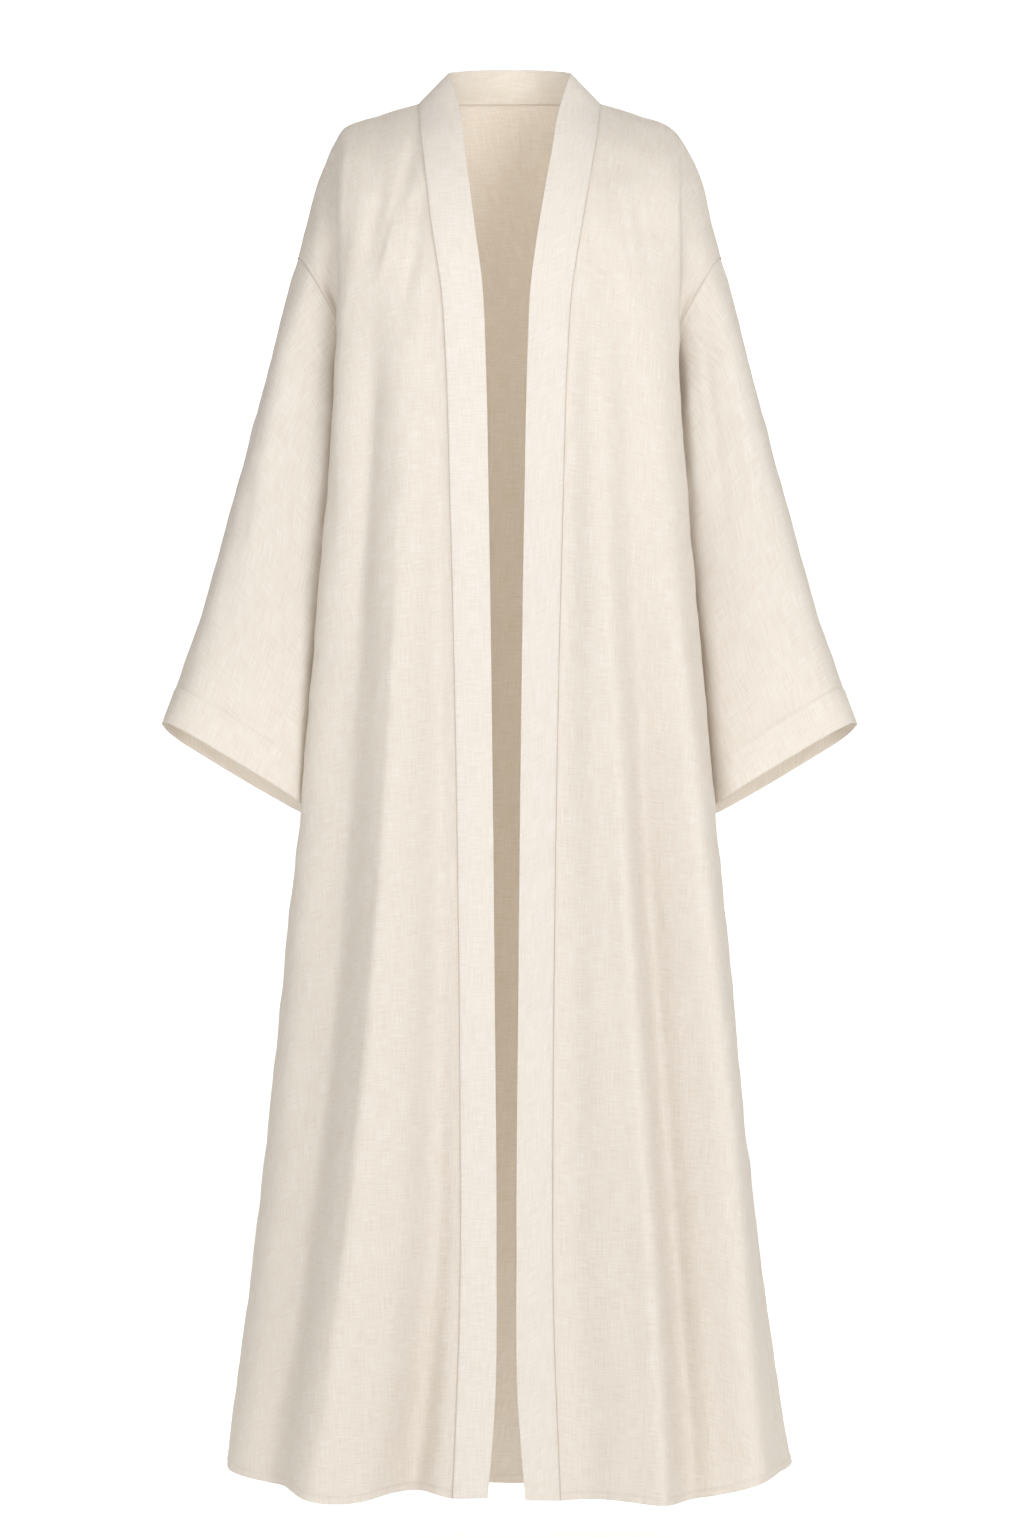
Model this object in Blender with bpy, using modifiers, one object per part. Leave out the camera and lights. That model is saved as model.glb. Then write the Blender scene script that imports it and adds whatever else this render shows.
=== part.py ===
"""Open-front linen abaya cloak, hanging as it is worn, with no wearer inside.

Lengths are metres, +Z is up and +X is to the right as the cloak is seen from the front, which faces -Y.
The origin is the middle of the neck at shoulder height, halfway between the two high shoulder points.

Every panel is one open sheet, lofted through sections, and its wall comes from Solidify. The front and
back sheets of a side are read from one ring of guide lines: band seam, breast, edge (the fold where the
front turns to the side), nest (the hollow that the sleeve hangs in) and side seam, and the same again
round the back to the spine. A place on the ring is its turn, 0 at the band seam, 1 at the side, 2 at the
spine. A place down it is its depth below the shoulder.
"""

import math

import bpy
import numpy as np

CLOTH = 0.0018              # wall of the linen panels
BAND_CLOTH = 0.0028         # the band is folded double
SEAM_GAP = 0.0003           # between two pieces at a seam
LINEN = (0.87, 0.81, 0.72, 1.0)
LINEN_BAND = (0.89, 0.83, 0.75, 1.0)

UNDERARM = 0.270            # depth of the foot of the armholes
HEM_LEVEL = 1.400           # the hem's middle depth, which its own line goes round
NECK_WIDTH = 0.1834         # between the high shoulder points, along the band seam
NECK_REACH = 0.075          # how far behind the origin the band seam runs at the nape
NECK_RISE = 0.0087          # how far the nape stands above the high shoulder points
OPENING_SHIFT = -0.003      # the front opening hangs a little to the left of the middle
OPENING_SHIFT_DEPTH = 0.160

# Sections, from the shoulder seam to the hem. Above the underarm a depth is shared out along each guide
# line from its own place on the shoulder seam. The back has the front's edge and nest, mirrored.
SECTION_COLUMNS = ("depth", "front_y", "edge_x", "edge_y", "nest_x", "nest_y", "side_x", "back_y")
SECTIONS = (
    (0.000, 0.000, 0.1720, 0.000, 0.1915, 0.000, 0.2145, 0.075),
    (0.030, 0.045, 0.1725, 0.032, 0.1915, 0.021, 0.2145, 0.090),
    (0.070, 0.077, 0.1722, 0.055, 0.1895, 0.039, 0.2145, 0.100),
    (0.130, 0.104, 0.1716, 0.066, 0.1820, 0.051, 0.1900, 0.110),
    (0.200, 0.117, 0.1710, 0.070, 0.1700, 0.053, 0.1600, 0.116),
    (0.270, 0.122, 0.1700, 0.071, 0.1610, 0.038, 0.1520, 0.118),
    (0.400, 0.126, 0.1785, 0.074, 0.1680, 0.040, 0.1620, 0.116),
    (0.550, 0.130, 0.1905, 0.078, 0.1800, 0.046, 0.1765, 0.114),
    (0.700, 0.135, 0.2025, 0.080, 0.1950, 0.052, 0.1940, 0.116),
    (0.800, 0.138, 0.2105, 0.080, 0.2125, 0.045, 0.2090, 0.119),
    (1.000, 0.146, 0.2275, 0.082, 0.2340, 0.045, 0.2320, 0.128),
    (1.200, 0.156, 0.2475, 0.087, 0.2565, 0.048, 0.2555, 0.141),
    (1.440, 0.169, 0.2830, 0.095, 0.2930, 0.052, 0.2945, 0.162),
)
# Where each guide line starts on the shoulder seam, below the high shoulder point
SHOULDER_STARTS = {"breast": -0.0125, "blade": -0.0125, "edge": -0.033, "nest": -0.070}
# Guide lines between edge and spine, as shares of the edge's distance from the middle
ACROSS = {"breast": 0.76, "blade": 0.76, "hps": 0.533, "mid": 0.300, "spine": 0.0}
NECK_ANGLES = {"mid": 0.973, "spine": math.pi / 2}      # where they leave the neck seam
CHEST_ROUNDING = 4.0        # how flat front and back are between the middle and the edge
BACK_EDGE_SHARE = 0.98      # the back's edges stand just inside the front's

FRONT_TURNS = {"neck": 0.0, "breast": 0.38, "edge": 0.67, "nest": 0.83, "side": 1.0}
BACK_TURNS = {
    "side": 1.0, "nest": 1.147, "edge": 1.28, "blade": 1.482, "hps": 1.65, "mid": 1.805, "spine": 2.0,
}
# The guide line that each one runs into past the shoulder seam
OVER_SHOULDER = {
    "neck": "hps", "hps": "neck", "breast": "blade", "blade": "breast", "edge": "edge", "nest": "nest",
}

# The opening down the front, from its middle line: the band's seam and its free edge, and how far the
# free edge stands above the seam
OPENING_COLUMNS = ("depth", "seam", "free", "lift")
OPENING = (
    (0.000, 0.0917, 0.0616, 0.0310),
    (0.030, 0.0895, 0.0500, 0.0200),
    (0.070, 0.0840, 0.0430, 0.0120),
    (0.130, 0.0755, 0.0335, 0.0080),
    (0.200, 0.0650, 0.0240, 0.0050),
    (0.270, 0.0605, 0.0208, 0.0020),
    (0.400, 0.0565, 0.0180, 0.0000),
    (0.600, 0.0515, 0.0150, 0.0000),
    (0.900, 0.0470, 0.0118, 0.0000),
    (1.150, 0.0458, 0.0100, 0.0000),
    (1.300, 0.0480, 0.0112, 0.0000),
    (1.440, 0.0550, 0.0225, 0.0000),
)
COLLAR_HALF = 0.0616        # half the width across the band's free edge at the shoulders
COLLAR_REACH = 0.055
COLLAR_LIFT = 0.031
COLLAR_RISE = 0.0105
BAND_ROLL = 0.003           # how far the band's free edge rolls back into the opening

# The hem's depth from the middle out to the side
HEM_COLUMNS = ("x", "front_left", "front_right", "back")
HEM = (
    (0.000, 1.4030, 1.4040, 1.4225),
    (0.055, 1.3985, 1.4000, 1.4215),
    (0.092, 1.3920, 1.3990, 1.4200),
    (0.115, 1.3935, 1.4010, 1.4190),
    (0.145, 1.4015, 1.4045, 1.4165),
    (0.190, 1.4000, 1.4000, 1.4090),
    (0.215, 1.3895, 1.3950, 1.4030),
    (0.240, 1.3870, 1.3870, 1.3960),
    (0.275, 1.3810, 1.3790, 1.3850),
    (0.290, 1.3760, 1.3760, 1.3760),
)

# The side seams swing to the front low down, the right one most, so that the back shows there
SWING_COLUMNS = ("depth", "left", "right")
SEAM_SWING = (
    (0.95, 0.00, 0.00),
    (1.15, 0.05, 0.18),
    (1.27, 0.08, 0.33),
    (1.42, 0.09, 0.34),
)

# The largest folds. Each is a soft ridge, or a trough where its height is below zero, that runs down a
# face through x at five depths, with its own flanks toward and away from the middle, at the top and hem.
FOLD_DEPTHS = (0.30, 0.60, 0.90, 1.15, 1.40)
FOLD_COLUMNS = ("face", "x", "height", "inner_flank", "outer_flank")
FOLDS = (
    ("front_left", (-0.104, -0.113, -0.126, -0.149, -0.182), (0.009, 0.022, 0.036, 0.043, 0.048),
     (0.055, 0.098), (0.036, 0.062)),
    ("front_left", (-0.066, -0.065, -0.064, -0.068, -0.094), (-0.005, -0.008, -0.012, -0.019, -0.032),
     (0.014, 0.032), (0.028, 0.045)),
    ("front_right", (0.087, 0.098, 0.114, 0.131, 0.145), (0.010, 0.016, 0.020, 0.028, 0.034),
     (0.050, 0.095), (0.032, 0.045)),
    ("front_right", (0.145, 0.168, 0.192, 0.211, 0.236), (0.005, 0.016, 0.027, 0.030, 0.027),
     (0.028, 0.050), (0.028, 0.044)),
    ("back", (-0.110, -0.125, -0.146, -0.168, -0.198), (0.003, 0.008, 0.014, 0.019, 0.025),
     (0.040, 0.060), (0.036, 0.060)),
    ("back", (-0.034, -0.040, -0.048, -0.058, -0.070), (0.002, 0.006, 0.011, 0.016, 0.022),
     (0.034, 0.056), (0.040, 0.062)),
    ("back", (0.052, 0.058, 0.066, 0.074, 0.086), (0.002, 0.007, 0.012, 0.017, 0.024),
     (0.040, 0.062), (0.034, 0.058)),
    ("back", (0.120, 0.134, 0.154, 0.174, 0.206), (0.004, 0.009, 0.013, 0.018, 0.022),
     (0.036, 0.056), (0.034, 0.052)),
)
FOLD_SEAM_FADE = 0.12       # folds die out toward the band seam over this much turn
FOLD_SIDE_FADE = 0.35       # and toward the side over this much
FOLD_TOP = 0.160            # no fold starts above this depth
FOLD_TOP_FADE = 0.160

# Armhole: a loop from the end of the shoulder seam, round the front or back, to the underarm
ARMHOLE_TOP = (0.2145, 0.0, -0.158)
ARMHOLE_FOOT = (0.1520, 0.0, -0.270)
ARMHOLE_HALF = 0.050
ARMHOLE_LIFT = 0.010
ARMHOLE_PACE = 1.5          # rows meet the armhole slowly at its top and faster below
YOKE_DEPTH = 0.070          # the corner at the high shoulder point is lost in the back by this depth
UNDERARM_TUCK = 0.0024      # the sleeve's wall starts this far outside the body's wall at the underarm
UNDERARM_TUCK_SPREAD = 0.9  # how gently that begins round the armhole

# Sleeve: rings from the armhole to the cuff, each through a place on its upper and its lower line
SLEEVE_COLUMNS = ("along", "over_x", "over_z", "under_x", "under_z", "middle_y", "half", "tilt")
SLEEVE = (
    (0.00, 0.2145, -0.158, 0.1520, -0.270, 0.000, 0.0500, 0.00),
    (0.08, 0.2262, -0.196, 0.1605, -0.305, 0.000, 0.0545, 0.00),
    (0.20, 0.2408, -0.254, 0.1672, -0.360, -0.001, 0.0595, 0.00),
    (0.40, 0.2655, -0.349, 0.1770, -0.449, -0.004, 0.0625, 0.02),
    (0.60, 0.2905, -0.444, 0.1865, -0.541, -0.012, 0.0630, 0.06),
    (0.80, 0.3180, -0.540, 0.1955, -0.632, -0.024, 0.0610, 0.10),
    (1.00, 0.3500, -0.632, 0.2045, -0.719, -0.040, 0.0570, 0.15),
)
SLEEVE_FLATNESS = 1.7       # how much flatter than an oval the sleeves' faces are
ARMHOLE_FADE = 0.25         # the armhole's own loop turns into the sleeve's rings over this share
SLEEVE_FOLD_FULL = 1.6      # a sleeve's folds reach their full height this soon from their ends
# Folds of a sleeve: quarter turns from the top round the front, and shares of its length
SLEEVE_FOLD_COLUMNS = ("turn", "half_turn", "start", "end", "height")
SLEEVE_FOLDS = (
    (0.62, 0.45, 0.02, 0.55, -0.0055),
    (1.35, 0.40, 0.25, 1.10, 0.0040),
    (3.30, 0.45, 0.05, 0.70, -0.0050),
    (2.55, 0.40, 0.30, 1.10, 0.0040),
)

# Meshes
SEAM_STRIP = 0.012          # the first cells beside a side seam are this wide, as turn
ARMHOLE_STRIP = 0.060       # and those beside an armhole
FRONT_CELLS = 22
BACK_CELLS = 10             # from a side seam to the high shoulder point
NAPE_CELLS = 6              # from there to the spine
SHOULDER_ROWS = 2           # close rows beside the shoulder seam, too close for the armhole
ARMHOLE_DEPTHS = (0.0, 0.003, 0.018, 0.044, 0.082, 0.115, 0.144, 0.170, 0.194, 0.217, 0.244, 0.270)
LOWER_DEPTHS = (0.310, 0.370, 0.440, 0.520, 0.600, 0.680, 0.740, 0.800, 0.880, 0.960, 1.040, 1.120,
                1.200, 1.270, 1.330, 1.375, HEM_LEVEL)
SLEEVE_RINGS = (0.0, 0.010, 0.05, 0.12, 0.20, 0.29, 0.38, 0.48, 0.58, 0.68, 0.78, 0.87, 0.94, 1.0)
BAND_CELLS = 2              # across the band
FACET_EASE = 0.0002         # what the flat facets beside a seam stray from the smooth cloth
WIDEST_FOLD = 0.6           # cosine of the sharpest fold at a seam that the drawing in allows for
SMALL = 1e-4                # step for reading a sheet's direction


def column(rows, names, name):
    """One named column of a table."""
    return np.array([row[names.index(name)] for row in rows], float)


def weights(knots, at):
    """How much each knot counts at each place, for a smooth curve through values held at the knots."""
    knots = np.asarray(knots, float)
    at = np.clip(np.atleast_1d(np.asarray(at, float)), knots[0], knots[-1])
    unit = np.eye(len(knots))
    step = np.diff(knots)
    rise = np.diff(unit, axis=0) / step[:, None]
    before = step[:-1, None]
    after = step[1:, None]
    slope = np.vstack([rise[:1], (rise[:-1] * after + rise[1:] * before) / (before + after), rise[-1:]])
    span = np.clip(np.searchsorted(knots, at, side="right") - 1, 0, len(step) - 1)
    width = step[span][:, None]
    share = (at[:, None] - knots[span][:, None]) / width
    back = 1.0 - share
    return (
        back * back * (1.0 + 2.0 * share) * unit[span]
        + share * share * (1.0 + 2.0 * back) * unit[span + 1]
        + share * back * back * width * slope[span]
        - share * share * back * width * slope[span + 1]
    )


def curve(knots, values, at):
    """A smooth curve through one value at each knot."""
    return weights(knots, at) @ np.asarray(values, float)


def read(rows, names, name, at):
    """One named column of a table, as a smooth curve over the table's first column."""
    return curve(column(rows, names, names[0]), column(rows, names, name), at)


def ease(share):
    """From 0 to 1 with flat ends."""
    share = np.clip(share, 0.0, 1.0)
    return share * share * (3.0 - 2.0 * share)


def section(name, depth):
    """One size of the body at a depth."""
    return read(SECTIONS, SECTION_COLUMNS, name, depth)[0]


def opening_middle(depth):
    """Where the middle line of the front opening lies."""
    return OPENING_SHIFT * float(ease(depth / OPENING_SHIFT_DEPTH))


def armhole_angle(depth):
    """How far round the armhole a row of the body meets it."""
    return math.pi * min(max(depth / UNDERARM, 0.0), 1.0) ** ARMHOLE_PACE


def armhole(angle, face):
    """A place on the right armhole's loop: angle 0 at its top, pi at the underarm."""
    top = np.array(ARMHOLE_TOP)
    foot = np.array(ARMHOLE_FOOT)
    bulge = np.array((0.0, face * ARMHOLE_HALF, ARMHOLE_LIFT))
    return (top + foot) / 2 + math.cos(angle) * (top - foot) / 2 + math.sin(angle) * bulge


def neck_seam(angle):
    """The band seam behind the shoulders: angle 0 at the right high shoulder point, pi/2 at the nape."""
    return np.array((
        NECK_WIDTH / 2 * math.cos(angle),
        NECK_REACH * math.sin(angle),
        NECK_RISE * math.sin(angle),
    ))


def collar_edge(angle):
    """The band's free edge behind the shoulders."""
    return np.array((
        COLLAR_HALF * math.cos(angle),
        COLLAR_REACH * math.sin(angle),
        COLLAR_LIFT + COLLAR_RISE * math.sin(angle),
    ))


def guide_place(name, depth, face, side):
    """A place on one guide line. Face is -1 in front, +1 behind. Side is +1 right, -1 left, and a left
    place is given as if it lay on the right."""
    share = min(max(depth / UNDERARM, 0.0), 1.0)
    neck_angle = NECK_ANGLES.get(name, 0.0)
    start = SHOULDER_STARTS.get(name, NECK_RISE * math.sin(neck_angle))
    z = -depth if share >= 1.0 else start * (1.0 - share) - UNDERARM * share
    if name == "side":
        if share < 1.0:
            return armhole(armhole_angle(depth), face)
        return np.array((section("side_x", depth), 0.0, z))
    if name == "nest":
        return np.array((section("nest_x", depth), face * section("nest_y", depth), z))
    if name == "neck":
        seam = read(OPENING, OPENING_COLUMNS, "seam", depth)[0]
        return np.array((seam + side * opening_middle(depth), -section("front_y", depth), z))
    edge_x = section("edge_x", depth) * (BACK_EDGE_SHARE if face > 0 and depth > 0.0 else 1.0)
    edge_y = section("edge_y", depth)
    if name == "edge":
        return np.array((edge_x, face * edge_y, z))
    if depth <= 0.0 and name in ("breast", "blade"):
        return np.array((ACROSS[name] * edge_x, 0.0, z))
    if depth <= 0.0:
        return neck_seam(neck_angle)
    middle_y = section("front_y", depth)
    if face > 0:
        middle_y = section("back_y", depth) - NECK_REACH * (1.0 - math.sin(neck_angle)) * (1.0 - share) ** 4
    y = edge_y + (middle_y - edge_y) * (1.0 - ACROSS[name] ** CHEST_ROUNDING)
    return np.array((ACROSS[name] * edge_x, face * y, z))


def over_shoulder(name, depth, face, side):
    """The place that a guide line reaches past the shoulder seam, on the other face, which makes the two
    faces run into each other there."""
    if name in OVER_SHOULDER:
        return guide_place(OVER_SHOULDER[name], depth, -face, side)
    return 2 * guide_place(name, 0.0, face, side) - guide_place(name, depth, face, side)


def guide_net(face, side, upper, yoke):
    """The places of all guide lines on one face, above or below the underarm: a row for each depth and a
    column for each line. One more row at the underarm and one more column at the side give the slopes
    that the neighbouring part has there. The yoke is the back's upper part out from the high shoulder
    point: its top runs straight there, where the neck seam turns away."""
    depths = list(column(SECTIONS, SECTION_COLUMNS, "depth"))
    turns = FRONT_TURNS if face < 0 else BACK_TURNS
    names = list(turns)
    seam = names.index("side")
    nest = names.index("nest")
    first = depths[1]
    split = depths.index(UNDERARM)
    if upper:
        rows = [[over_shoulder(name, first, face, side) for name in names]]
        depths = [-first, *depths[: split + 2]]
        rows += [[guide_place(name, depth, face, side) for name in names] for depth in depths[1:]]
        net = np.array(rows)
        onward = (depths[-1] - depths[-2]) / (depths[-2] - depths[-3])
        net[-1, seam] = net[-2, seam] + (net[-2, seam] - net[-3, seam]) * (0.0, onward, 0.0)
        around = 2 * net[:, seam] - net[:, nest]
    else:
        depths = depths[split - 1:]
        net = np.array([[guide_place(name, depth, face, side) for name in names] for depth in depths])
        upward = (depths[1] - depths[0]) / (depths[2] - depths[1])
        net[0, seam] = net[1, seam] + (net[1, seam] - net[2, seam]) * upward
        around = net[:, nest] * np.array((1.0, -1.0, 1.0))
    if yoke:
        hps, blade, mid = (names.index(name) for name in ("hps", "blade", "mid"))
        onward = (turns["mid"] - turns["hps"]) / (turns["hps"] - turns["blade"])
        straight = net[:, hps] + (net[:, hps] - net[:, blade]) * onward
        net[:, mid] = straight + (net[:, mid] - straight) * ease(np.array(depths) / YOKE_DEPTH)[:, None]
    knots = list(turns.values())
    if face < 0:
        return depths, [*knots, 2.0 - turns["nest"]], np.concatenate([net, around[:, None]], axis=1)
    mirrored = net[:, [names.index("mid")]] * np.array((-1.0, 1.0, 1.0))
    net = np.concatenate([around[:, None], net, mirrored], axis=1)
    return depths, [2.0 - turns["nest"], *knots, 4.0 - turns["mid"]], net


# The nets' faces, whether they lie above the underarm, and whether they are the yoke
NET_KINDS = ((-1, True, False), (-1, False, False), (1, True, False), (1, False, False), (1, True, True))
NETS = {(side, *kind): guide_net(kind[0], side, kind[1], kind[2]) for side in (-1, 1) for kind in NET_KINDS}


def ring(turn, depth, side, face):
    """Places on the smooth body, before its folds, with x as it is on that side. Above the underarm the
    front and the back are parted by the armhole, and face says which of them is read."""
    upper = depth < UNDERARM
    in_front = np.where(upper, face < 0, turn <= 1.0)
    yoke = upper & ~in_front & (turn < BACK_TURNS["hps"])
    place = np.empty((len(turn), 3))
    for net_face, net_upper, net_yoke in NET_KINDS:
        chosen = (in_front == (net_face < 0)) & (upper == net_upper) & (yoke == net_yoke)
        depths, turns, net = NETS[side, net_face, net_upper, net_yoke]
        down = weights(depths, depth[chosen])
        across = weights(turns, turn[chosen])
        place[chosen] = np.einsum("nd,nt,dtc->nc", down, across, net)
    return place * np.array((side, 1.0, 1.0))


def fold_height(turn, place, side):
    """How far the folds stand out from the smooth body."""
    face = np.where(turn > 1.0, "back", "front_left" if side < 0 else "front_right")
    depth = -place[:, 2]
    drop = np.interp(depth, (FOLD_DEPTHS[0], FOLD_DEPTHS[-1]), (0.0, 1.0))
    height = np.zeros(len(turn))
    for row in FOLDS:
        fold = dict(zip(FOLD_COLUMNS, row))
        x = curve(FOLD_DEPTHS, fold["x"], depth)
        away = (place[:, 0] - x) * np.sign(x)
        inner = np.interp(drop, (0.0, 1.0), fold["inner_flank"])
        outer = np.interp(drop, (0.0, 1.0), fold["outer_flank"])
        top = curve(FOLD_DEPTHS, fold["height"], depth)
        bell = ease(1.0 - np.abs(away) / np.where(away < 0, inner, outer))
        height += np.where(face == fold["face"], top * bell, 0.0)
    starts = ease((depth - FOLD_TOP) / FOLD_TOP_FADE)
    return height * starts * ease(turn / FOLD_SEAM_FADE) * ease(np.abs(turn - 1.0) / FOLD_SIDE_FADE)


def cloak(turn, depth, side, face):
    """Places on the body with its folds."""
    turn, depth = np.broadcast_arrays(np.asarray(turn, float), np.asarray(depth, float))
    place = ring(turn, depth, side, face)
    across = ring(turn + SMALL, depth, side, face) - ring(turn - SMALL, depth, side, face)
    down = ring(turn, depth + SMALL, side, face) - ring(turn, depth - SMALL, side, face)
    normal = np.cross(across, down) * side
    normal /= np.linalg.norm(normal, axis=1, keepdims=True)
    return place - normal * fold_height(turn, place, side)[:, None]


def hem_depth(turn, side):
    """The hem's depth at each turn."""
    x = np.abs(ring(turn, np.full(len(turn), HEM_LEVEL), side, 1)[:, 0])
    front = read(HEM, HEM_COLUMNS, "front_left" if side < 0 else "front_right", x)
    return np.where(turn > 1.0, read(HEM, HEM_COLUMNS, "back", x), front)


def seam_turn(depth, side):
    """The turn of the side seam at a depth."""
    return 1.0 - read(SEAM_SWING, SWING_COLUMNS, "left" if side < 0 else "right", depth)[0]


def body_rows(turns_at, side, face):
    """A sheet of the body, one row for each depth, where turns_at gives a row's turns from its depth."""
    rows = []
    for depth in (*ARMHOLE_DEPTHS, *LOWER_DEPTHS):
        turn = turns_at(depth)
        stretch = (hem_depth(turn, side) - UNDERARM) / (HEM_LEVEL - UNDERARM)
        below = max(depth - UNDERARM, 0.0)
        rows.append(cloak(turn, min(depth, UNDERARM) + below * stretch, side, face))
    return np.array(rows)


def front_sheet(side):
    """One front, from the band seam to the armhole and side seam."""
    def turns_at(depth):
        shares = np.array([*np.linspace(0.0, 1.0 - strip(depth), FRONT_CELLS), 1.0])
        return shares * seam_turn(depth, side)

    return body_rows(turns_at, side, -1)


def strip(depth):
    """How wide the cells beside the armhole or the side seam are."""
    return SEAM_STRIP if depth > UNDERARM else ARMHOLE_STRIP


def back_turns(depth, side):
    """The back's turns from the side seam, through the high shoulder point, to the spine."""
    seam = seam_turn(depth, side)
    shoulder = BACK_TURNS["hps"]
    nape = np.linspace(shoulder, 2.0, NAPE_CELLS + 1)
    return np.array([seam, *np.linspace(seam + strip(depth), shoulder, BACK_CELLS)[:-1], *nape])


def back_sheet():
    """The back, from the left side seam to the right one."""
    left = body_rows(lambda depth: back_turns(depth, -1), -1, 1)
    right = body_rows(lambda depth: back_turns(depth, 1), 1, 1)
    return np.concatenate([left, right[:, -2::-1]], axis=1)


def band_sheet(left, back, right):
    """The neckband and front bands in one strip, from the left hem round the neck to the right hem, on
    the edges of the panels that it is sewn to."""
    seam = [*left[::-1, 0]]
    free = [front_free_edge(place, -1) for place in seam]
    neck = back[0, BACK_CELLS + 1: -BACK_CELLS - 1]
    turns = np.linspace(BACK_TURNS["hps"], 2.0, NAPE_CELLS + 1)[1:]
    knots = [BACK_TURNS[name] for name in ("hps", "mid", "spine")]
    angles = list(curve(knots, (0.0, NECK_ANGLES["mid"], NECK_ANGLES["spine"]), turns))
    round_neck = [math.pi - angle for angle in angles] + angles[-2::-1]
    seam += [*neck, *right[:, 0]]
    free += [collar_edge(angle) for angle in round_neck]
    free += [front_free_edge(place, 1) for place in right[:, 0]]
    seam = np.array(seam)
    free = np.array(free)
    beside = np.array([*left[::-1, 1], *back[1, BACK_CELLS + 1: -BACK_CELLS - 1], *right[:, 1]])
    start = drawn_in(seam, free, beside, BAND_CLOTH)
    shares = np.linspace(0.0, 1.0, BAND_CELLS + 1)
    return start[:, None] + (free - start)[:, None] * shares[None, :, None]


def front_free_edge(seam_place, side):
    """The band's free edge beside a place on the front's band seam."""
    depth = -seam_place[2]
    half = read(OPENING, OPENING_COLUMNS, "free", depth)[0]
    lift = read(OPENING, OPENING_COLUMNS, "lift", depth)[0]
    roll = BAND_ROLL * float(ease(depth / UNDERARM))
    return np.array((opening_middle(depth) + side * half, seam_place[1] + roll, seam_place[2] + lift))


def sleeve_sheet(side, front, back):
    """One sleeve, a row for each ring, from the armhole that the front and back leave open. The first
    column of back lies on the armhole and the last column of front does."""
    kept = [0, *range(SHOULDER_ROWS + 1, len(ARMHOLE_DEPTHS))]
    behind = kept[-2:0:-1]
    loop = np.concatenate([front[kept, -1], back[behind, 0]])
    body = np.concatenate([front[kept, -2], back[behind, 1]])
    mirror = np.array((side, 1.0, 1.0))
    angle = [armhole_angle(ARMHOLE_DEPTHS[row]) for row in kept]
    angle = np.array(angle + [2 * math.pi - value for value in angle[-2:0:-1]])
    rings = []
    for along in SLEEVE_RINGS:
        size = {name: read(SLEEVE, SLEEVE_COLUMNS, name, along)[0] for name in SLEEVE_COLUMNS[1:]}
        over = np.array((size["over_x"], size["middle_y"], size["over_z"]))
        under = np.array((size["under_x"], size["middle_y"], size["under_z"]))
        across = np.array((0.0, -size["half"], size["half"] * size["tilt"]))
        upright = np.outer(np.cos(angle), (over - under) / 2)
        flattened = np.tanh(SLEEVE_FLATNESS * np.sin(angle)) / math.tanh(SLEEVE_FLATNESS)
        rings.append((over + under) / 2 + upright + np.outer(flattened, across))
    rings = np.array(rings)
    fade = ease(1.0 - np.array(SLEEVE_RINGS) / ARMHOLE_FADE)
    rings += (loop * mirror - rings[0])[None] * fade[:, None, None]
    rings += outward(rings) * sleeve_fold_height(angle)[:, :, None]
    down = np.array(ARMHOLE_TOP) - np.array(ARMHOLE_FOOT)
    off_body = np.array((down[2], 0.0, -down[0])) / np.linalg.norm(down)
    low = ease(0.5 - np.cos(angle) / UNDERARM_TUCK_SPREAD)
    rings += off_body * (UNDERARM_TUCK * low * fade[:, None])[:, :, None]
    rings[0] = drawn_in(rings[0], rings[1], body * mirror, CLOTH)
    return rings * mirror


def outward(rings):
    """The outward direction at each place of a tube's rings."""
    around = np.roll(rings, -1, axis=1) - np.roll(rings, 1, axis=1)
    down = np.gradient(rings, axis=0)
    normal = np.cross(down, around)
    return normal / np.linalg.norm(normal, axis=2, keepdims=True)


def sleeve_fold_height(angle):
    """How far the sleeve's folds stand out, a row for each ring."""
    quarter = angle / (math.pi / 2)
    along = np.array(SLEEVE_RINGS)
    height = np.zeros((len(along), len(quarter)))
    for row in SLEEVE_FOLDS:
        fold = dict(zip(SLEEVE_FOLD_COLUMNS, row))
        off = np.abs((quarter - fold["turn"] + 2.0) % 4.0 - 2.0)
        middle = (fold["start"] + fold["end"]) / 2
        reach = np.abs(along - middle) / (fold["end"] - middle)
        lengthways = ease(SLEEVE_FOLD_FULL * (1.0 - reach))
        height += fold["height"] * np.outer(lengthways, ease(1.0 - off / fold["half_turn"]))
    return height


def drawn_in(edge, inner, other, wall):
    """An edge drawn in along its own piece so that the two walls stay a seam gap apart, whatever the
    angle between them. Inner is the next line of this piece and other the next line of its neighbour."""
    way = inner - edge
    way /= np.linalg.norm(way, axis=1, keepdims=True)
    across = other - edge
    across /= np.linalg.norm(across, axis=1, keepdims=True)
    half_angle = np.arccos(np.clip((way * across).sum(axis=1), -1.0, WIDEST_FOLD)) / 2
    reach = FACET_EASE + SEAM_GAP / 2 / np.sin(half_angle) + wall / 2 / np.tan(half_angle)
    return edge + way * reach[:, None]


def fitted(sheet, over, band, beside_first, beside_last):
    """A panel with its top and side edges drawn in beside its neighbours' next lines."""
    sheet = sheet.copy()
    for edge, inner, other, wall in (
        (sheet[0], sheet[1], over, CLOTH),
        (sheet[:, 0], sheet[:, 1], beside_first, band),
        (sheet[:, -1], sheet[:, -2], beside_last, CLOTH),
    ):
        edge[:] = drawn_in(edge, inner, other, wall)
    return sheet


def linen(name, colour):
    """Plain-weave linen."""
    material = bpy.data.materials.new(name)
    material.use_nodes = True
    shader = material.node_tree.nodes["Principled BSDF"]
    shader.inputs["Base Color"].default_value = colour
    shader.inputs["Roughness"].default_value = 0.85
    shader.inputs["Metallic"].default_value = 0.0
    return material


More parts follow.
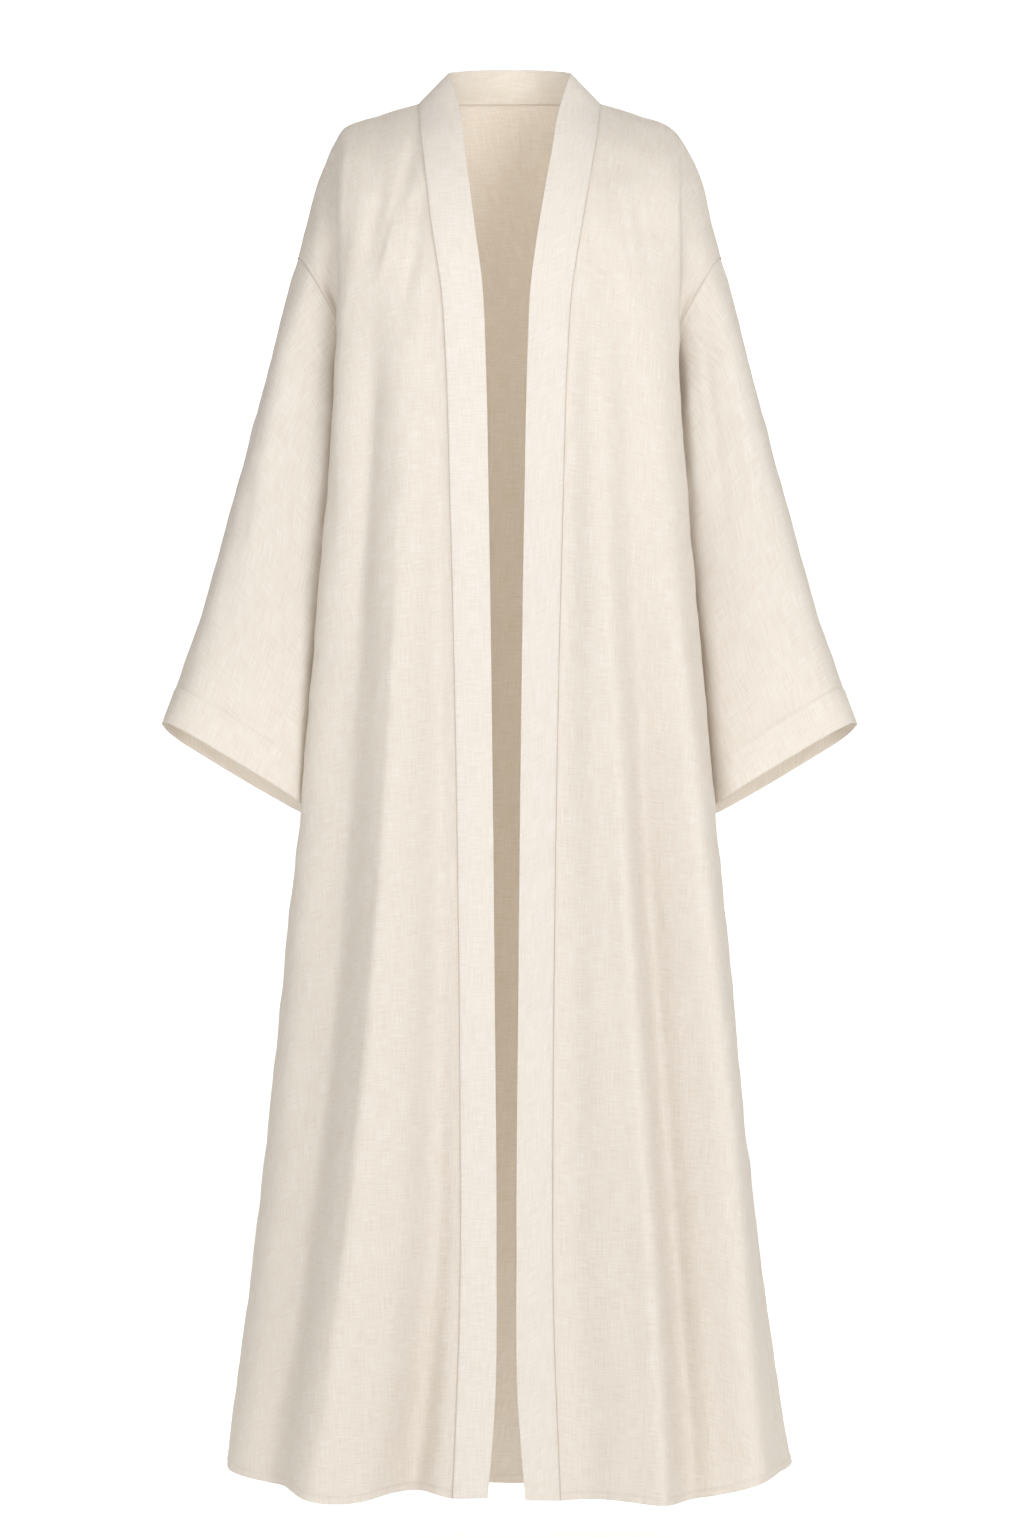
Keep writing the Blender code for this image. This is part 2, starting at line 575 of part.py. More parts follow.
def make_piece(name, sheet, thickness, material, collection, tube=False, flip=False):
    """A wall of cloth on a sheet of places: a loft from each row to the next, then Solidify."""
    rows, columns = sheet.shape[:2]
    faces = []
    for row in range(rows - 1):
        for place in range(columns if tube else columns - 1):
            after = (place + 1) % columns
            corners = (
                row * columns + place,
                row * columns + after,
                (row + 1) * columns + after,
                (row + 1) * columns + place,
            )
            faces.append(corners[::-1] if flip else corners)
    mesh = bpy.data.meshes.new(name)
    mesh.from_pydata([tuple(float(v) for v in place) for place in sheet.reshape(-1, 3)], [], faces)
    mesh.shade_smooth()
    mesh.materials.append(material)
    piece = bpy.data.objects.new(name, mesh)
    collection.objects.link(piece)
    wall = piece.modifiers.new("wall", "SOLIDIFY")
    wall.thickness = thickness
    wall.offset = 0.0
    return piece


def main():
    for thing in list(bpy.data.objects):
        bpy.data.objects.remove(thing)
    collection = bpy.data.collections.new("abaya_cloak")
    bpy.context.scene.collection.children.link(collection)
    cloth = linen("linen", LINEN)
    band_cloth = linen("linen_band", LINEN_BAND)
    left = front_sheet(-1)
    right = front_sheet(1)
    back = back_sheet()
    band = band_sheet(left, back, right)
    sleeves = {
        -1: sleeve_sheet(-1, left, back[:, :2]),
        1: sleeve_sheet(1, right, back[:, :-3:-1]),
    }
    rows = len(left)
    over = np.array((1.0, -1.0, 1.0))
    for side, front, name in ((-1, left, "front_left"), (1, right, "front_right")):
        beside_band = band[:rows, 1][::-1] if side < 0 else band[-rows:, 1]
        beside_back = back[:, 1 if side < 0 else -2]
        sheet = fitted(front, front[1] * over, BAND_CLOTH, beside_band, beside_back)
        make_piece(name, sheet, CLOTH, cloth, collection, flip=side > 0)
    over_back = back[1] * over
    over_back[BACK_CELLS + 1: -BACK_CELLS - 1] = band[rows:-rows, 1]
    sheet = fitted(back, over_back, CLOTH, left[:, -2], right[:, -2])
    make_piece("back", sheet, CLOTH, cloth, collection)
    make_piece("neckband", band, BAND_CLOTH, band_cloth, collection)
    for side, name in ((-1, "sleeve_left"), (1, "sleeve_right")):
        make_piece(name, sleeves[side], CLOTH, cloth, collection, tube=True, flip=side > 0)


main()
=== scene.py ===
import math

import bpy
import numpy as np
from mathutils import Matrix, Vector


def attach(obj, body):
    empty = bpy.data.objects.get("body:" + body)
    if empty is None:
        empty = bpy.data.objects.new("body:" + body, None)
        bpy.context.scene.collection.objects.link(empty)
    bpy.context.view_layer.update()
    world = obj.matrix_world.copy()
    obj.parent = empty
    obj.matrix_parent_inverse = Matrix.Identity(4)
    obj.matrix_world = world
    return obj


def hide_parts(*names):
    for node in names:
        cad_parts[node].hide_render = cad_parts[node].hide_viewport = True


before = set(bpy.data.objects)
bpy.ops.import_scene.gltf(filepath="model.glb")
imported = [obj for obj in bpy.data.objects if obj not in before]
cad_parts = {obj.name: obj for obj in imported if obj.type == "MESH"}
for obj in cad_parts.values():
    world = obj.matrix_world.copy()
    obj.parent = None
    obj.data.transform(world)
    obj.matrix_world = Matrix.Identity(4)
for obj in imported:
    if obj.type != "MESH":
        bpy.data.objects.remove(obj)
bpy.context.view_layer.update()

WALL = 0.0010               # the panels' wall here, thicker than real linen so that its edges show
BAND_WALL = 0.0022          # the band's, which is folded double
SEAM_ROLL = 0.0008          # how far a panel's edge turns in at a seam
SEAM_ROLL_WIDTH = 0.0024
BAND_STAND = 0.0003         # how far the band stands over the panels at its seam
BAND_SEAM_SHARE = 0.4       # the band's own edge turns in by this share of a panel's
HEM_TURN = 0.0080           # from the hem to its stitching
CUFF_TURN = 0.0390          # from the cuff's edge to its own
STITCH_SINK = 0.0005        # how deep a line of stitching draws the cloth in
STITCH_WIDTH = 0.0011
SEAM_SHADE_WIDTH = 0.0009          # this near to a seam the cloth is darkened toward a brownish painted shade, which stands in for the shadow in the seam's groove
SEAM_SHADE_DEPTH = 0.30           # by at most this share of the way
STITCH_SHADE_DEPTH = 0.05         # and by this share along a line of stitching, as painted shade in its sunk line
TURN_SWELL = 0.0007         # the cloth stands out this much where it is turned up
SWELL_SHORT = 0.0020        # it begins to lie flat again this far short of the stitching
SWELL_FADE = 0.0030         # over this length

UNDERARM = 0.270            # depth of the foot of the armholes
HEM_LEVEL = 1.400           # the hem's middle depth, which its own line goes round
NECK_WIDTH = 0.1834         # between the high shoulder points, along the band seam
NECK_REACH = 0.075          # how far behind the origin the band seam runs at the nape
NECK_RISE = 0.0087          # how far the nape stands above the high shoulder points
NECK_FADE = 4               # how fast the neck's curve is lost in the back below it
OPENING_SHIFT = -0.003      # the front opening hangs a little to the left of the middle
OPENING_SHIFT_DEPTH = 0.160

# Sections of the body, from the shoulder seam to the hem. Above the underarm a depth is shared out along
# each guide line from its own place on the shoulder seam. The back has the front's edge and nest, mirrored.
SECTION_COLUMNS = ("depth", "front_y", "edge_x", "edge_y", "nest_x", "nest_y", "side_x", "back_y")
SECTIONS = (
    (0.000, 0.000, 0.1720, 0.000, 0.1915, 0.000, 0.2145, 0.075),
    (0.030, 0.045, 0.1725, 0.032, 0.1915, 0.021, 0.2145, 0.090),
    (0.070, 0.077, 0.1722, 0.055, 0.1895, 0.039, 0.2145, 0.100),
    (0.130, 0.104, 0.1716, 0.066, 0.1820, 0.051, 0.1900, 0.110),
    (0.200, 0.117, 0.1710, 0.070, 0.1700, 0.053, 0.1600, 0.116),
    (0.270, 0.122, 0.1700, 0.071, 0.1610, 0.038, 0.1520, 0.118),
    (0.400, 0.126, 0.1785, 0.074, 0.1680, 0.040, 0.1620, 0.116),
    (0.550, 0.130, 0.1905, 0.078, 0.1800, 0.046, 0.1765, 0.114),
    (0.700, 0.135, 0.2025, 0.080, 0.1950, 0.052, 0.1940, 0.116),
    (0.800, 0.138, 0.2105, 0.080, 0.2125, 0.045, 0.2090, 0.119),
    (1.000, 0.146, 0.2275, 0.082, 0.2340, 0.045, 0.2320, 0.128),
    (1.200, 0.156, 0.2475, 0.087, 0.2565, 0.048, 0.2555, 0.141),
    (1.440, 0.169, 0.2830, 0.095, 0.2930, 0.052, 0.2945, 0.162),
)
# Where each guide line starts on the shoulder seam, below the high shoulder point
SHOULDER_STARTS = {"breast": -0.0125, "blade": -0.0125, "edge": -0.033, "nest": -0.070}
# Guide lines between edge and spine, as shares of the edge's distance from the middle
ACROSS = {"breast": 0.76, "blade": 0.76, "hps": 0.533, "mid": 0.300, "spine": 0.0}
NECK_ANGLES = {"mid": 0.973, "spine": math.pi / 2}      # where they leave the neck seam
CHEST_ROUNDING = 4.0        # how flat front and back are between the middle and the edge
BACK_EDGE_SHARE = 0.98      # the back's edges stand just inside the front's

# Where each guide line runs round the body, in turns: 0 at the band seam, 1 at the side, 2 at the spine.
# The high shoulder point is called hps.
FRONT_TURNS = {"neck": 0.0, "breast": 0.38, "edge": 0.67, "nest": 0.83, "side": 1.0}
BACK_TURNS = {
    "side": 1.0, "nest": 1.147, "edge": 1.28, "blade": 1.482, "hps": 1.65, "mid": 1.805, "spine": 2.0,
}
# The line on the other face that each one runs into over the shoulder seam
OVER_SHOULDER = {
    "neck": "hps", "hps": "neck", "breast": "blade", "blade": "breast", "edge": "edge", "nest": "nest",
}

# The opening down the front, from its middle line: the band's seam and its free edge, and how far the
# free edge stands above the seam
OPENING_COLUMNS = ("depth", "seam", "free", "lift")
OPENING = (
    (0.000, 0.0917, 0.0616, 0.0310),
    (0.030, 0.0895, 0.0500, 0.0200),
    (0.070, 0.0840, 0.0430, 0.0120),
    (0.130, 0.0755, 0.0335, 0.0080),
    (0.200, 0.0650, 0.0240, 0.0050),
    (0.270, 0.0605, 0.0208, 0.0020),
    (0.400, 0.0565, 0.0180, 0.0000),
    (0.600, 0.0515, 0.0150, 0.0000),
    (0.900, 0.0470, 0.0118, 0.0000),
    (1.150, 0.0458, 0.0100, 0.0000),
    (1.300, 0.0480, 0.0112, 0.0000),
    (1.440, 0.0550, 0.0225, 0.0000),
)
COLLAR_HALF = 0.0616        # half the width across the band's free edge at the shoulders
COLLAR_REACH = 0.055        # how far behind the origin the free edge runs
COLLAR_LIFT = 0.031         # how far it stands up at the shoulders
COLLAR_RISE = 0.0105        # and how much more at the nape
BAND_ROLL = 0.003           # how far the band's free edge rolls back into the opening

# The hem's depth from the middle out to the side
HEM_COLUMNS = ("x", "front_left", "front_right", "back")
HEM = (
    (0.000, 1.4030, 1.4040, 1.4225),
    (0.055, 1.3985, 1.4000, 1.4215),
    (0.092, 1.3920, 1.3990, 1.4200),
    (0.115, 1.3935, 1.4010, 1.4190),
    (0.145, 1.4015, 1.4045, 1.4165),
    (0.190, 1.4000, 1.4000, 1.4090),
    (0.215, 1.3895, 1.3950, 1.4030),
    (0.240, 1.3870, 1.3870, 1.3960),
    (0.275, 1.3810, 1.3790, 1.3850),
    (0.290, 1.3760, 1.3760, 1.3760),
)

# The side seams swing to the front low down, the right one most, so that the back shows there
SWING_COLUMNS = ("depth", "left", "right")
SEAM_SWING = (
    (0.95, 0.00, 0.00),
    (1.15, 0.05, 0.18),
    (1.27, 0.08, 0.33),
    (1.42, 0.09, 0.34),
)

# The largest folds. Each is a soft ridge, or a trough where its height is below zero, that runs down a
# face through x at five depths, with its own flanks toward and away from the middle, at the top and hem.
FOLD_DEPTHS = (0.30, 0.60, 0.90, 1.15, 1.40)
FOLDS = (
    ("front_left", (-0.104, -0.113, -0.126, -0.149, -0.182), (0.009, 0.022, 0.036, 0.043, 0.048),
     (0.055, 0.098), (0.036, 0.062)),
    ("front_left", (-0.066, -0.065, -0.064, -0.068, -0.094), (-0.005, -0.008, -0.012, -0.019, -0.032),
     (0.014, 0.032), (0.028, 0.045)),
    ("front_right", (0.087, 0.098, 0.114, 0.131, 0.145), (0.010, 0.016, 0.020, 0.028, 0.034),
     (0.050, 0.095), (0.032, 0.045)),
    ("front_right", (0.145, 0.168, 0.192, 0.211, 0.236), (0.005, 0.016, 0.027, 0.030, 0.027),
     (0.028, 0.050), (0.028, 0.044)),
    ("back", (-0.110, -0.125, -0.146, -0.168, -0.198), (0.003, 0.008, 0.014, 0.019, 0.025),
     (0.040, 0.060), (0.036, 0.060)),
    ("back", (-0.034, -0.040, -0.048, -0.058, -0.070), (0.002, 0.006, 0.011, 0.016, 0.022),
     (0.034, 0.056), (0.040, 0.062)),
    ("back", (0.052, 0.058, 0.066, 0.074, 0.086), (0.002, 0.007, 0.012, 0.017, 0.024),
     (0.040, 0.062), (0.034, 0.058)),
    ("back", (0.120, 0.134, 0.154, 0.174, 0.206), (0.004, 0.009, 0.013, 0.018, 0.022),
     (0.036, 0.056), (0.034, 0.052)),
)
FOLD_SEAM_FADE = 0.12       # folds die out toward the band seam over this much turn
FOLD_SIDE_FADE = 0.35       # and toward the side over this much
FOLD_TOP = 0.160            # no fold starts above this depth
FOLD_TOP_FADE = 0.160       # and it reaches its full height over this much below

# Armhole: a loop from the end of the shoulder seam, round the front or back, to the underarm
ARMHOLE_TOP = (0.2145, 0.0, -0.158)
ARMHOLE_FOOT = (0.1520, 0.0, -0.270)
ARMHOLE_HALF = 0.050        # half its width from front to back
ARMHOLE_LIFT = 0.010        # how far its front and back edges are drawn up
ARMHOLE_PACE = 1.5          # rows meet the armhole slowly at its top and faster below
YOKE_DEPTH = 0.070          # the corner at the high shoulder point is lost in the back by this depth
UNDERARM_TUCK = 0.0024      # the sleeve's wall starts this far outside the body's wall at the underarm
TUCK_TOP = 0.45             # height on the armhole, from 1 at its top to -1 at its foot, where that begins
TUCK_SPAN = 0.9             # and the drop over which it grows
TUCK_START = 0.02           # share of the sleeve's length over which it grows from the seam

# Sleeve: rings from the armhole to the cuff, each through a place on its upper and its lower line
SLEEVE_COLUMNS = ("along", "over_x", "over_z", "under_x", "under_z", "middle_y", "half", "tilt")
SLEEVE = (
    (0.00, 0.2145, -0.158, 0.1520, -0.270, 0.000, 0.0500, 0.00),
    (0.08, 0.2262, -0.196, 0.1605, -0.305, 0.000, 0.0545, 0.00),
    (0.20, 0.2408, -0.254, 0.1672, -0.360, -0.001, 0.0595, 0.00),
    (0.40, 0.2655, -0.349, 0.1770, -0.449, -0.004, 0.0625, 0.02),
    (0.60, 0.2905, -0.444, 0.1865, -0.541, -0.012, 0.0630, 0.06),
    (0.80, 0.3180, -0.540, 0.1955, -0.632, -0.024, 0.0610, 0.10),
    (1.00, 0.3500, -0.632, 0.2045, -0.719, -0.040, 0.0570, 0.15),
)
SLEEVE_FLATNESS = 1.7       # how much flatter than an oval the sleeves' faces are
ARMHOLE_FADE = 0.25         # the armhole's own loop turns into the sleeve's rings over this share
SLEEVE_FOLD_HOLD = 1.6      # over 1, a fold keeps its full height for the middle of its length
SLEEVE_QUARTER = 0.085      # about a quarter of the way round a sleeve at its armhole
# Folds of a sleeve: middle and half width in quarter turns from the top round the front, start and end as
# shares of its length, and height
SLEEVE_FOLDS = (
    (0.62, 0.45, 0.02, 0.55, -0.0055),
    (1.35, 0.40, 0.25, 1.10, 0.0040),
    (3.30, 0.45, 0.05, 0.70, -0.0050),
    (2.55, 0.40, 0.30, 1.10, 0.0040),
)

# Meshes, closer wherever the cloth turns. Depths of the rows beside the shoulder seam that the armhole skips
SHOULDER_STEPS = (0.0005, 0.0015, 0.003, 0.005, 0.008, 0.0115)
ARMHOLE_STEPS = 72          # rows round half an armhole
LOWER_ROWS = 210            # rows below the underarm, down to the hem's own
# Heights of the hem's own rows, and shares of a front's width, or turns of the back, beside a seam
HEM_STEPS = (0.028, 0.020, 0.0145, 0.0112, 0.0092, 0.0080, 0.0068, 0.0048, 0.0026, 0.0010)
SEAM_STEPS = (0.0, 0.0035, 0.009, 0.017)
FRONT_CELLS = 96
BACK_CELLS = 50             # from the side seam to the high shoulder point
NAPE_CELLS = 24             # and on to the spine
NECK_FIRST = len(SEAM_STEPS) + BACK_CELLS - 2           # the back's column at the left high shoulder point
SLEEVE_LENGTH = 0.49
SLEEVE_CELLS = 92
# Distances of a sleeve's rings from the armhole, and from the cuff's edge
ARMHOLE_RINGS = (0.0, 0.0008, 0.002, 0.0036, 0.006)
CUFF_STEPS = (0.046, 0.0425, 0.0402, 0.0390, 0.0378, 0.0355, 0.032, 0.024, 0.016, 0.008, 0.003)
# Shares of the band's width, from its seam to its free edge
BAND_SHARES = (0.0, 0.02, 0.06, 0.14, 0.25, 0.37, 0.49, 0.61, 0.73, 0.85, 0.94, 0.985, 1.0)
SLOPE_STEP = 1e-4           # slopes of the body are measured over this much either way

# Soft creases laid on the body. Each has its face, the x and depth where it starts and ends, how far
# its line bows, its widths to the left and right of that line seen from the front, and its height, which is
# below zero for a trough. Some start or end off the cloth, so that they run out over its edge.
CREASES = (
    ("front_left", -0.103, 0.300, -0.186, 1.440, 0.016, 0.010, 0.026, 0.0026),
    ("front_left", -0.1775, 0.020, -0.1770, 0.300, 0.000, 0.020, 0.006, -0.0062),
    ("front_right", 0.1765, 0.030, 0.1765, 0.290, 0.000, 0.007, 0.020, -0.0034),
    ("front_left", -0.1074, -0.300, -0.3556, 2.200, 0.000, 0.016, 0.038, 0.0060),
    ("front_left", -0.164, -0.100, -0.166, 0.550, 0.000, 0.012, 0.030, 0.0040),
    ("front_right", 0.1027, 0.250, 0.2188, 2.000, 0.000, 0.032, 0.024, -0.0100),
    ("front_left", -0.094, 0.018, -0.122, 0.150, 0.002, 0.008, 0.013, -0.0028),
    ("front_left", -0.104, 0.075, -0.134, 0.200, 0.002, 0.008, 0.014, 0.0024),
    ("front_left", -0.088, 0.085, -0.110, 0.230, 0.003, 0.009, 0.012, -0.0024),
    ("front_left", -0.122, 0.060, -0.146, 0.190, 0.000, 0.010, 0.012, -0.0020),
    ("front_left", -0.078, 0.160, -0.092, 0.330, 0.002, 0.010, 0.012, -0.0012),
    ("front_left", -0.140, 0.260, -0.160, 0.620, 0.004, 0.014, 0.018, -0.0018),
    ("front_right", 0.094, 0.250, 0.182, 2.000, -0.002, 0.026, 0.022, 0.0065),
    ("front_right", 0.088, 0.014, 0.106, 0.150, -0.002, 0.011, 0.008, -0.0023),
    ("front_right", 0.098, 0.070, 0.124, 0.220, -0.002, 0.012, 0.009, 0.0020),
    ("front_right", 0.080, 0.090, 0.098, 0.240, -0.002, 0.010, 0.009, -0.0020),
    ("front_right", 0.118, 0.060, 0.142, 0.190, 0.000, 0.012, 0.010, -0.0011),
    ("front_right", 0.144, 0.350, 0.281, 2.000, 0.000, 0.024, 0.022, 0.0055),
    ("back", -0.060, 0.030, -0.110, 0.220, 0.004, 0.014, 0.016, -0.0016),
    ("back", 0.058, 0.035, 0.104, 0.210, -0.004, 0.016, 0.014, -0.0015),
    ("back", -0.020, 0.090, -0.034, 0.420, 0.002, 0.018, 0.020, 0.0014),
    ("back", 0.030, 0.120, 0.050, 0.460, -0.002, 0.020, 0.018, 0.0013),
)
CREASE_END = 0.35           # share of a crease's length over which each end dies out
CREASE_TOP_FADE = 0.03      # creases die out over this depth below the shoulder
CREASE_SIDE_FADE = 0.08     # and over this much turn beside the side seam
CREASE_SEAM_FADE = 0.05     # and beside the band seam
SLEEVE_CREASE_FADE = 0.05   # and over this share of a sleeve beside its armhole

# Long low waves that make worn linen uneven: angle, length, height and phase
WAVES = (
    (0.10, 0.061, 0.00033, 0.3),
    (0.35, 0.043, 0.00021, 1.9),
    (-0.22, 0.052, 0.00027, 4.1),
    (1.25, 0.074, 0.00027, 2.6),
    (-1.05, 0.049, 0.00018, 5.2),
    (1.52, 0.031, 0.00012, 0.9),
    (0.02, 0.027, 0.00010, 3.3),
    (0.80, 0.036, 0.00012, 1.1),
)
# Creases of the sleeves: side, which is -1 left, 1 right and 0 both, quarter turns from the top round the
# front at its start and end, start and end as shares of the length, half width in quarter turns, and height
SLEEVE_CREASES = (
    (0, 0.95, 1.15, 0.02, 0.55, 0.16, 0.0020),
    (0, 1.30, 1.45, 0.00, 0.50, 0.20, -0.0022),
    (-1, 0.55, 0.75, 0.10, 0.80, 0.18, -0.0012),
    (1, 0.60, 0.80, 0.05, 0.70, 0.18, -0.0013),
    (0, 2.80, 2.60, 0.10, 0.90, 0.20, 0.0014),
    (0, 3.40, 3.20, 0.05, 0.75, 0.20, -0.0014),
)

# Plain-weave linen of spun flax, bleached to ivory. Real threads are about 0.7 mm apart, which is too fine
# for a picture of the whole cloak, so the thick and thin places of the yarn are drawn coarser: warp streaks
# 1.1 mm wide down each piece, weft streaks 1.0 mm wide across it. Name, size across and size down.
SLUBS = (("warp", 0.0011, 0.028), ("weft", 0.018, 0.0010))
SLUB_DETAIL = 2.5
SLUB_ROUGHNESS = 0.6
SLUB_THIN = 0.72            # sum of both ways' streaks where the cloth is at its darkest
SLUB_THICK = 1.28           # and at its lightest
WEAVE_STRENGTH = 0.25
WEAVE_RELIEF = 0.0004
# Flax is matt, with a faint bloom of loose fibres seen at a slant
FLAX_FINISH = {"Roughness": 0.88, "Specular IOR Level": 0.25, "Sheen Weight": 0.12, "Sheen Roughness": 0.5}
THROUGH = 0.41              # share of light that each face of the cloth lets on, as thin linen does
BAND_THROUGH = 0.40         # a little less through the band, which is folded double
WARMED = (1.0, 0.97, 0.925)                             # light is warmer for going through
PANEL_HEX = "F4F1EC"
PANEL_DARK_HEX = "EAE3DA"
BAND_HEX = "F5F2EE"
BAND_DARK_HEX = "ECE7DF"
# Brownish painted shade for the seam grooves and lines of stitching
SEAM_SHADE_HEX = "B49A7C"

# Edges of a sheet that are sewn
PANEL_SEAMS = ("first", "last", "top")
BAND_SEAMS = ("first",)
SLEEVE_SEAMS = ("top",)
NO_TURN = -1.0              # a turn below zero leaves a piece without a line of stitching
# Where each piece's map starts across, so that no two pieces have the same slubs
MAP_STARTS = {
    "front_left": 0.1, "front_right": 0.7, "back": 1.4,
    "neckband": 2.6, "sleeve_left": 3.1, "sleeve_right": 3.7,
}


def column(rows, names, name):
    """One named column of a table."""
    return np.array([row[names.index(name)] for row in rows], float)


def weights(knots, at):
    """How much each knot counts at each place, for a smooth curve through values held at the knots."""
    knots = np.asarray(knots, float)
    at = np.clip(np.atleast_1d(np.asarray(at, float)), knots[0], knots[-1])
    unit = np.eye(len(knots))
    step = np.diff(knots)
    rise = np.diff(unit, axis=0) / step[:, None]
    before = step[:-1, None]
    after = step[1:, None]
    slope = np.vstack([rise[:1], (rise[:-1] * after + rise[1:] * before) / (before + after), rise[-1:]])
    span = np.clip(np.searchsorted(knots, at, side="right") - 1, 0, len(step) - 1)
    width = step[span][:, None]
    share = (at[:, None] - knots[span][:, None]) / width
    back = 1.0 - share
    return (
        back * back * (1.0 + 2.0 * share) * unit[span]
        + share * share * (1.0 + 2.0 * back) * unit[span + 1]
        + share * back * back * width * slope[span]
        - share * share * back * width * slope[span + 1]
    )


def curve(knots, values, at):
    """A smooth curve through one value at each knot."""
    return weights(knots, at) @ np.asarray(values, float)


def read(rows, names, name, at):
    """One named column of a table, as a smooth curve over the table's first column."""
    return curve(column(rows, names, names[0]), column(rows, names, name), at)


def ease(share):
    """From 0 to 1 with flat ends."""
    share = np.clip(share, 0.0, 1.0)
    return share * share * (3.0 - 2.0 * share)


def section(name, depth):
    """One size of the body at a depth."""
    return read(SECTIONS, SECTION_COLUMNS, name, depth)[0]


def opening_middle(depth):
    """Where the middle line of the front opening lies."""
    return OPENING_SHIFT * float(ease(depth / OPENING_SHIFT_DEPTH))


def armhole_angle(depth):
    """How far round the armhole a row of the body meets it."""
    return math.pi * min(max(depth / UNDERARM, 0.0), 1.0) ** ARMHOLE_PACE


def armhole(angle, face):
    """A place on the right armhole's loop: angle 0 at its top, pi at the underarm."""
    top = np.array(ARMHOLE_TOP)
    foot = np.array(ARMHOLE_FOOT)
    bulge = np.array((0.0, face * ARMHOLE_HALF, ARMHOLE_LIFT))
    return (top + foot) / 2 + math.cos(angle) * (top - foot) / 2 + math.sin(angle) * bulge


def neck_seam(angle):
    """The band seam behind the shoulders: angle 0 at the right high shoulder point, pi/2 at the nape."""
    return np.array((
        NECK_WIDTH / 2 * math.cos(angle),
        NECK_REACH * math.sin(angle),
        NECK_RISE * math.sin(angle),
    ))


def collar_edge(angle):
    """The band's free edge behind the shoulders."""
    return np.array((
        COLLAR_HALF * math.cos(angle),
        COLLAR_REACH * math.sin(angle),
        COLLAR_LIFT + COLLAR_RISE * math.sin(angle),
    ))


def guide_place(name, depth, face, side):
    """A place on one guide line. Face is -1 in front, +1 behind. Side is +1 right, -1 left, and a left
    place is given as if it lay on the right."""
    share = min(max(depth / UNDERARM, 0.0), 1.0)
    neck_angle = NECK_ANGLES.get(name, 0.0)
    start = SHOULDER_STARTS.get(name, NECK_RISE * math.sin(neck_angle))
    z = -depth if share >= 1.0 else start * (1.0 - share) - UNDERARM * share
    if name == "side":
        if share < 1.0:
            return armhole(armhole_angle(depth), face)
        return np.array((section("side_x", depth), 0.0, z))
    if name == "nest":
        return np.array((section("nest_x", depth), face * section("nest_y", depth), z))
    if name == "neck":
        seam = read(OPENING, OPENING_COLUMNS, "seam", depth)[0]
        return np.array((seam + side * opening_middle(depth), -section("front_y", depth), z))
    edge_x = section("edge_x", depth) * (BACK_EDGE_SHARE if face > 0 and depth > 0.0 else 1.0)
    edge_y = section("edge_y", depth)
    if name == "edge":
        return np.array((edge_x, face * edge_y, z))
    if depth <= 0.0 and name in ("breast", "blade"):
        return np.array((ACROSS[name] * edge_x, 0.0, z))
    if depth <= 0.0:
        return neck_seam(neck_angle)
    middle_y = section("front_y", depth)
    if face > 0:
        short_of_nape = NECK_REACH * (1.0 - math.sin(neck_angle))
        middle_y = section("back_y", depth) - short_of_nape * (1.0 - share) ** NECK_FADE
    y = edge_y + (middle_y - edge_y) * (1.0 - ACROSS[name] ** CHEST_ROUNDING)
    return np.array((ACROSS[name] * edge_x, face * y, z))


def over_shoulder(name, depth, face, side):
    """The place that a guide line reaches past the shoulder seam, on the other face, which makes the two
    faces run into each other there."""
    if name in OVER_SHOULDER:
        return guide_place(OVER_SHOULDER[name], depth, -face, side)
    return 2 * guide_place(name, 0.0, face, side) - guide_place(name, depth, face, side)


def guide_net(face, side, upper, yoke):
    """The places of all guide lines on one face, above or below the underarm: a row for each depth and a
    column for each line. One more row at the underarm and one more column at the side give the slopes
    that the neighbouring part has there. The yoke is the back's upper part out from the high shoulder
    point: its top runs straight there, where the neck seam turns away."""
    depths = list(column(SECTIONS, SECTION_COLUMNS, "depth"))
    turns = FRONT_TURNS if face < 0 else BACK_TURNS
    names = list(turns)
    seam = names.index("side")
    nest = names.index("nest")
    first = depths[1]
    split = depths.index(UNDERARM)
    if upper:
        rows = [[over_shoulder(name, first, face, side) for name in names]]
        depths = [-first, *depths[: split + 2]]
        rows += [[guide_place(name, depth, face, side) for name in names] for depth in depths[1:]]
        net = np.array(rows)
        onward = (depths[-1] - depths[-2]) / (depths[-2] - depths[-3])
        net[-1, seam] = net[-2, seam] + (net[-2, seam] - net[-3, seam]) * (0.0, onward, 0.0)
        around = 2 * net[:, seam] - net[:, nest]
    else:
        depths = depths[split - 1:]
        net = np.array([[guide_place(name, depth, face, side) for name in names] for depth in depths])
        upward = (depths[1] - depths[0]) / (depths[2] - depths[1])
        net[0, seam] = net[1, seam] + (net[1, seam] - net[2, seam]) * upward
        around = net[:, nest] * np.array((1.0, -1.0, 1.0))
    if yoke:
        hps, blade, mid = (names.index(name) for name in ("hps", "blade", "mid"))
        onward = (turns["mid"] - turns["hps"]) / (turns["hps"] - turns["blade"])
        straight = net[:, hps] + (net[:, hps] - net[:, blade]) * onward
        net[:, mid] = straight + (net[:, mid] - straight) * ease(np.array(depths) / YOKE_DEPTH)[:, None]
    knots = list(turns.values())
    if face < 0:
        return depths, [*knots, 2.0 - turns["nest"]], np.concatenate([net, around[:, None]], axis=1)
    mirrored = net[:, [names.index("mid")]] * np.array((-1.0, 1.0, 1.0))
    net = np.concatenate([around[:, None], net, mirrored], axis=1)
    return depths, [2.0 - turns["nest"], *knots, 4.0 - turns["mid"]], net


# The nets' faces, whether they lie above the underarm, and whether they are the yoke
NET_KINDS = ((-1, True, False), (-1, False, False), (1, True, False), (1, False, False), (1, True, True))
NETS = {
    (side, face, upper, yoke): guide_net(face, side, upper, yoke)
    for side in (-1, 1)
    for face, upper, yoke in NET_KINDS
}


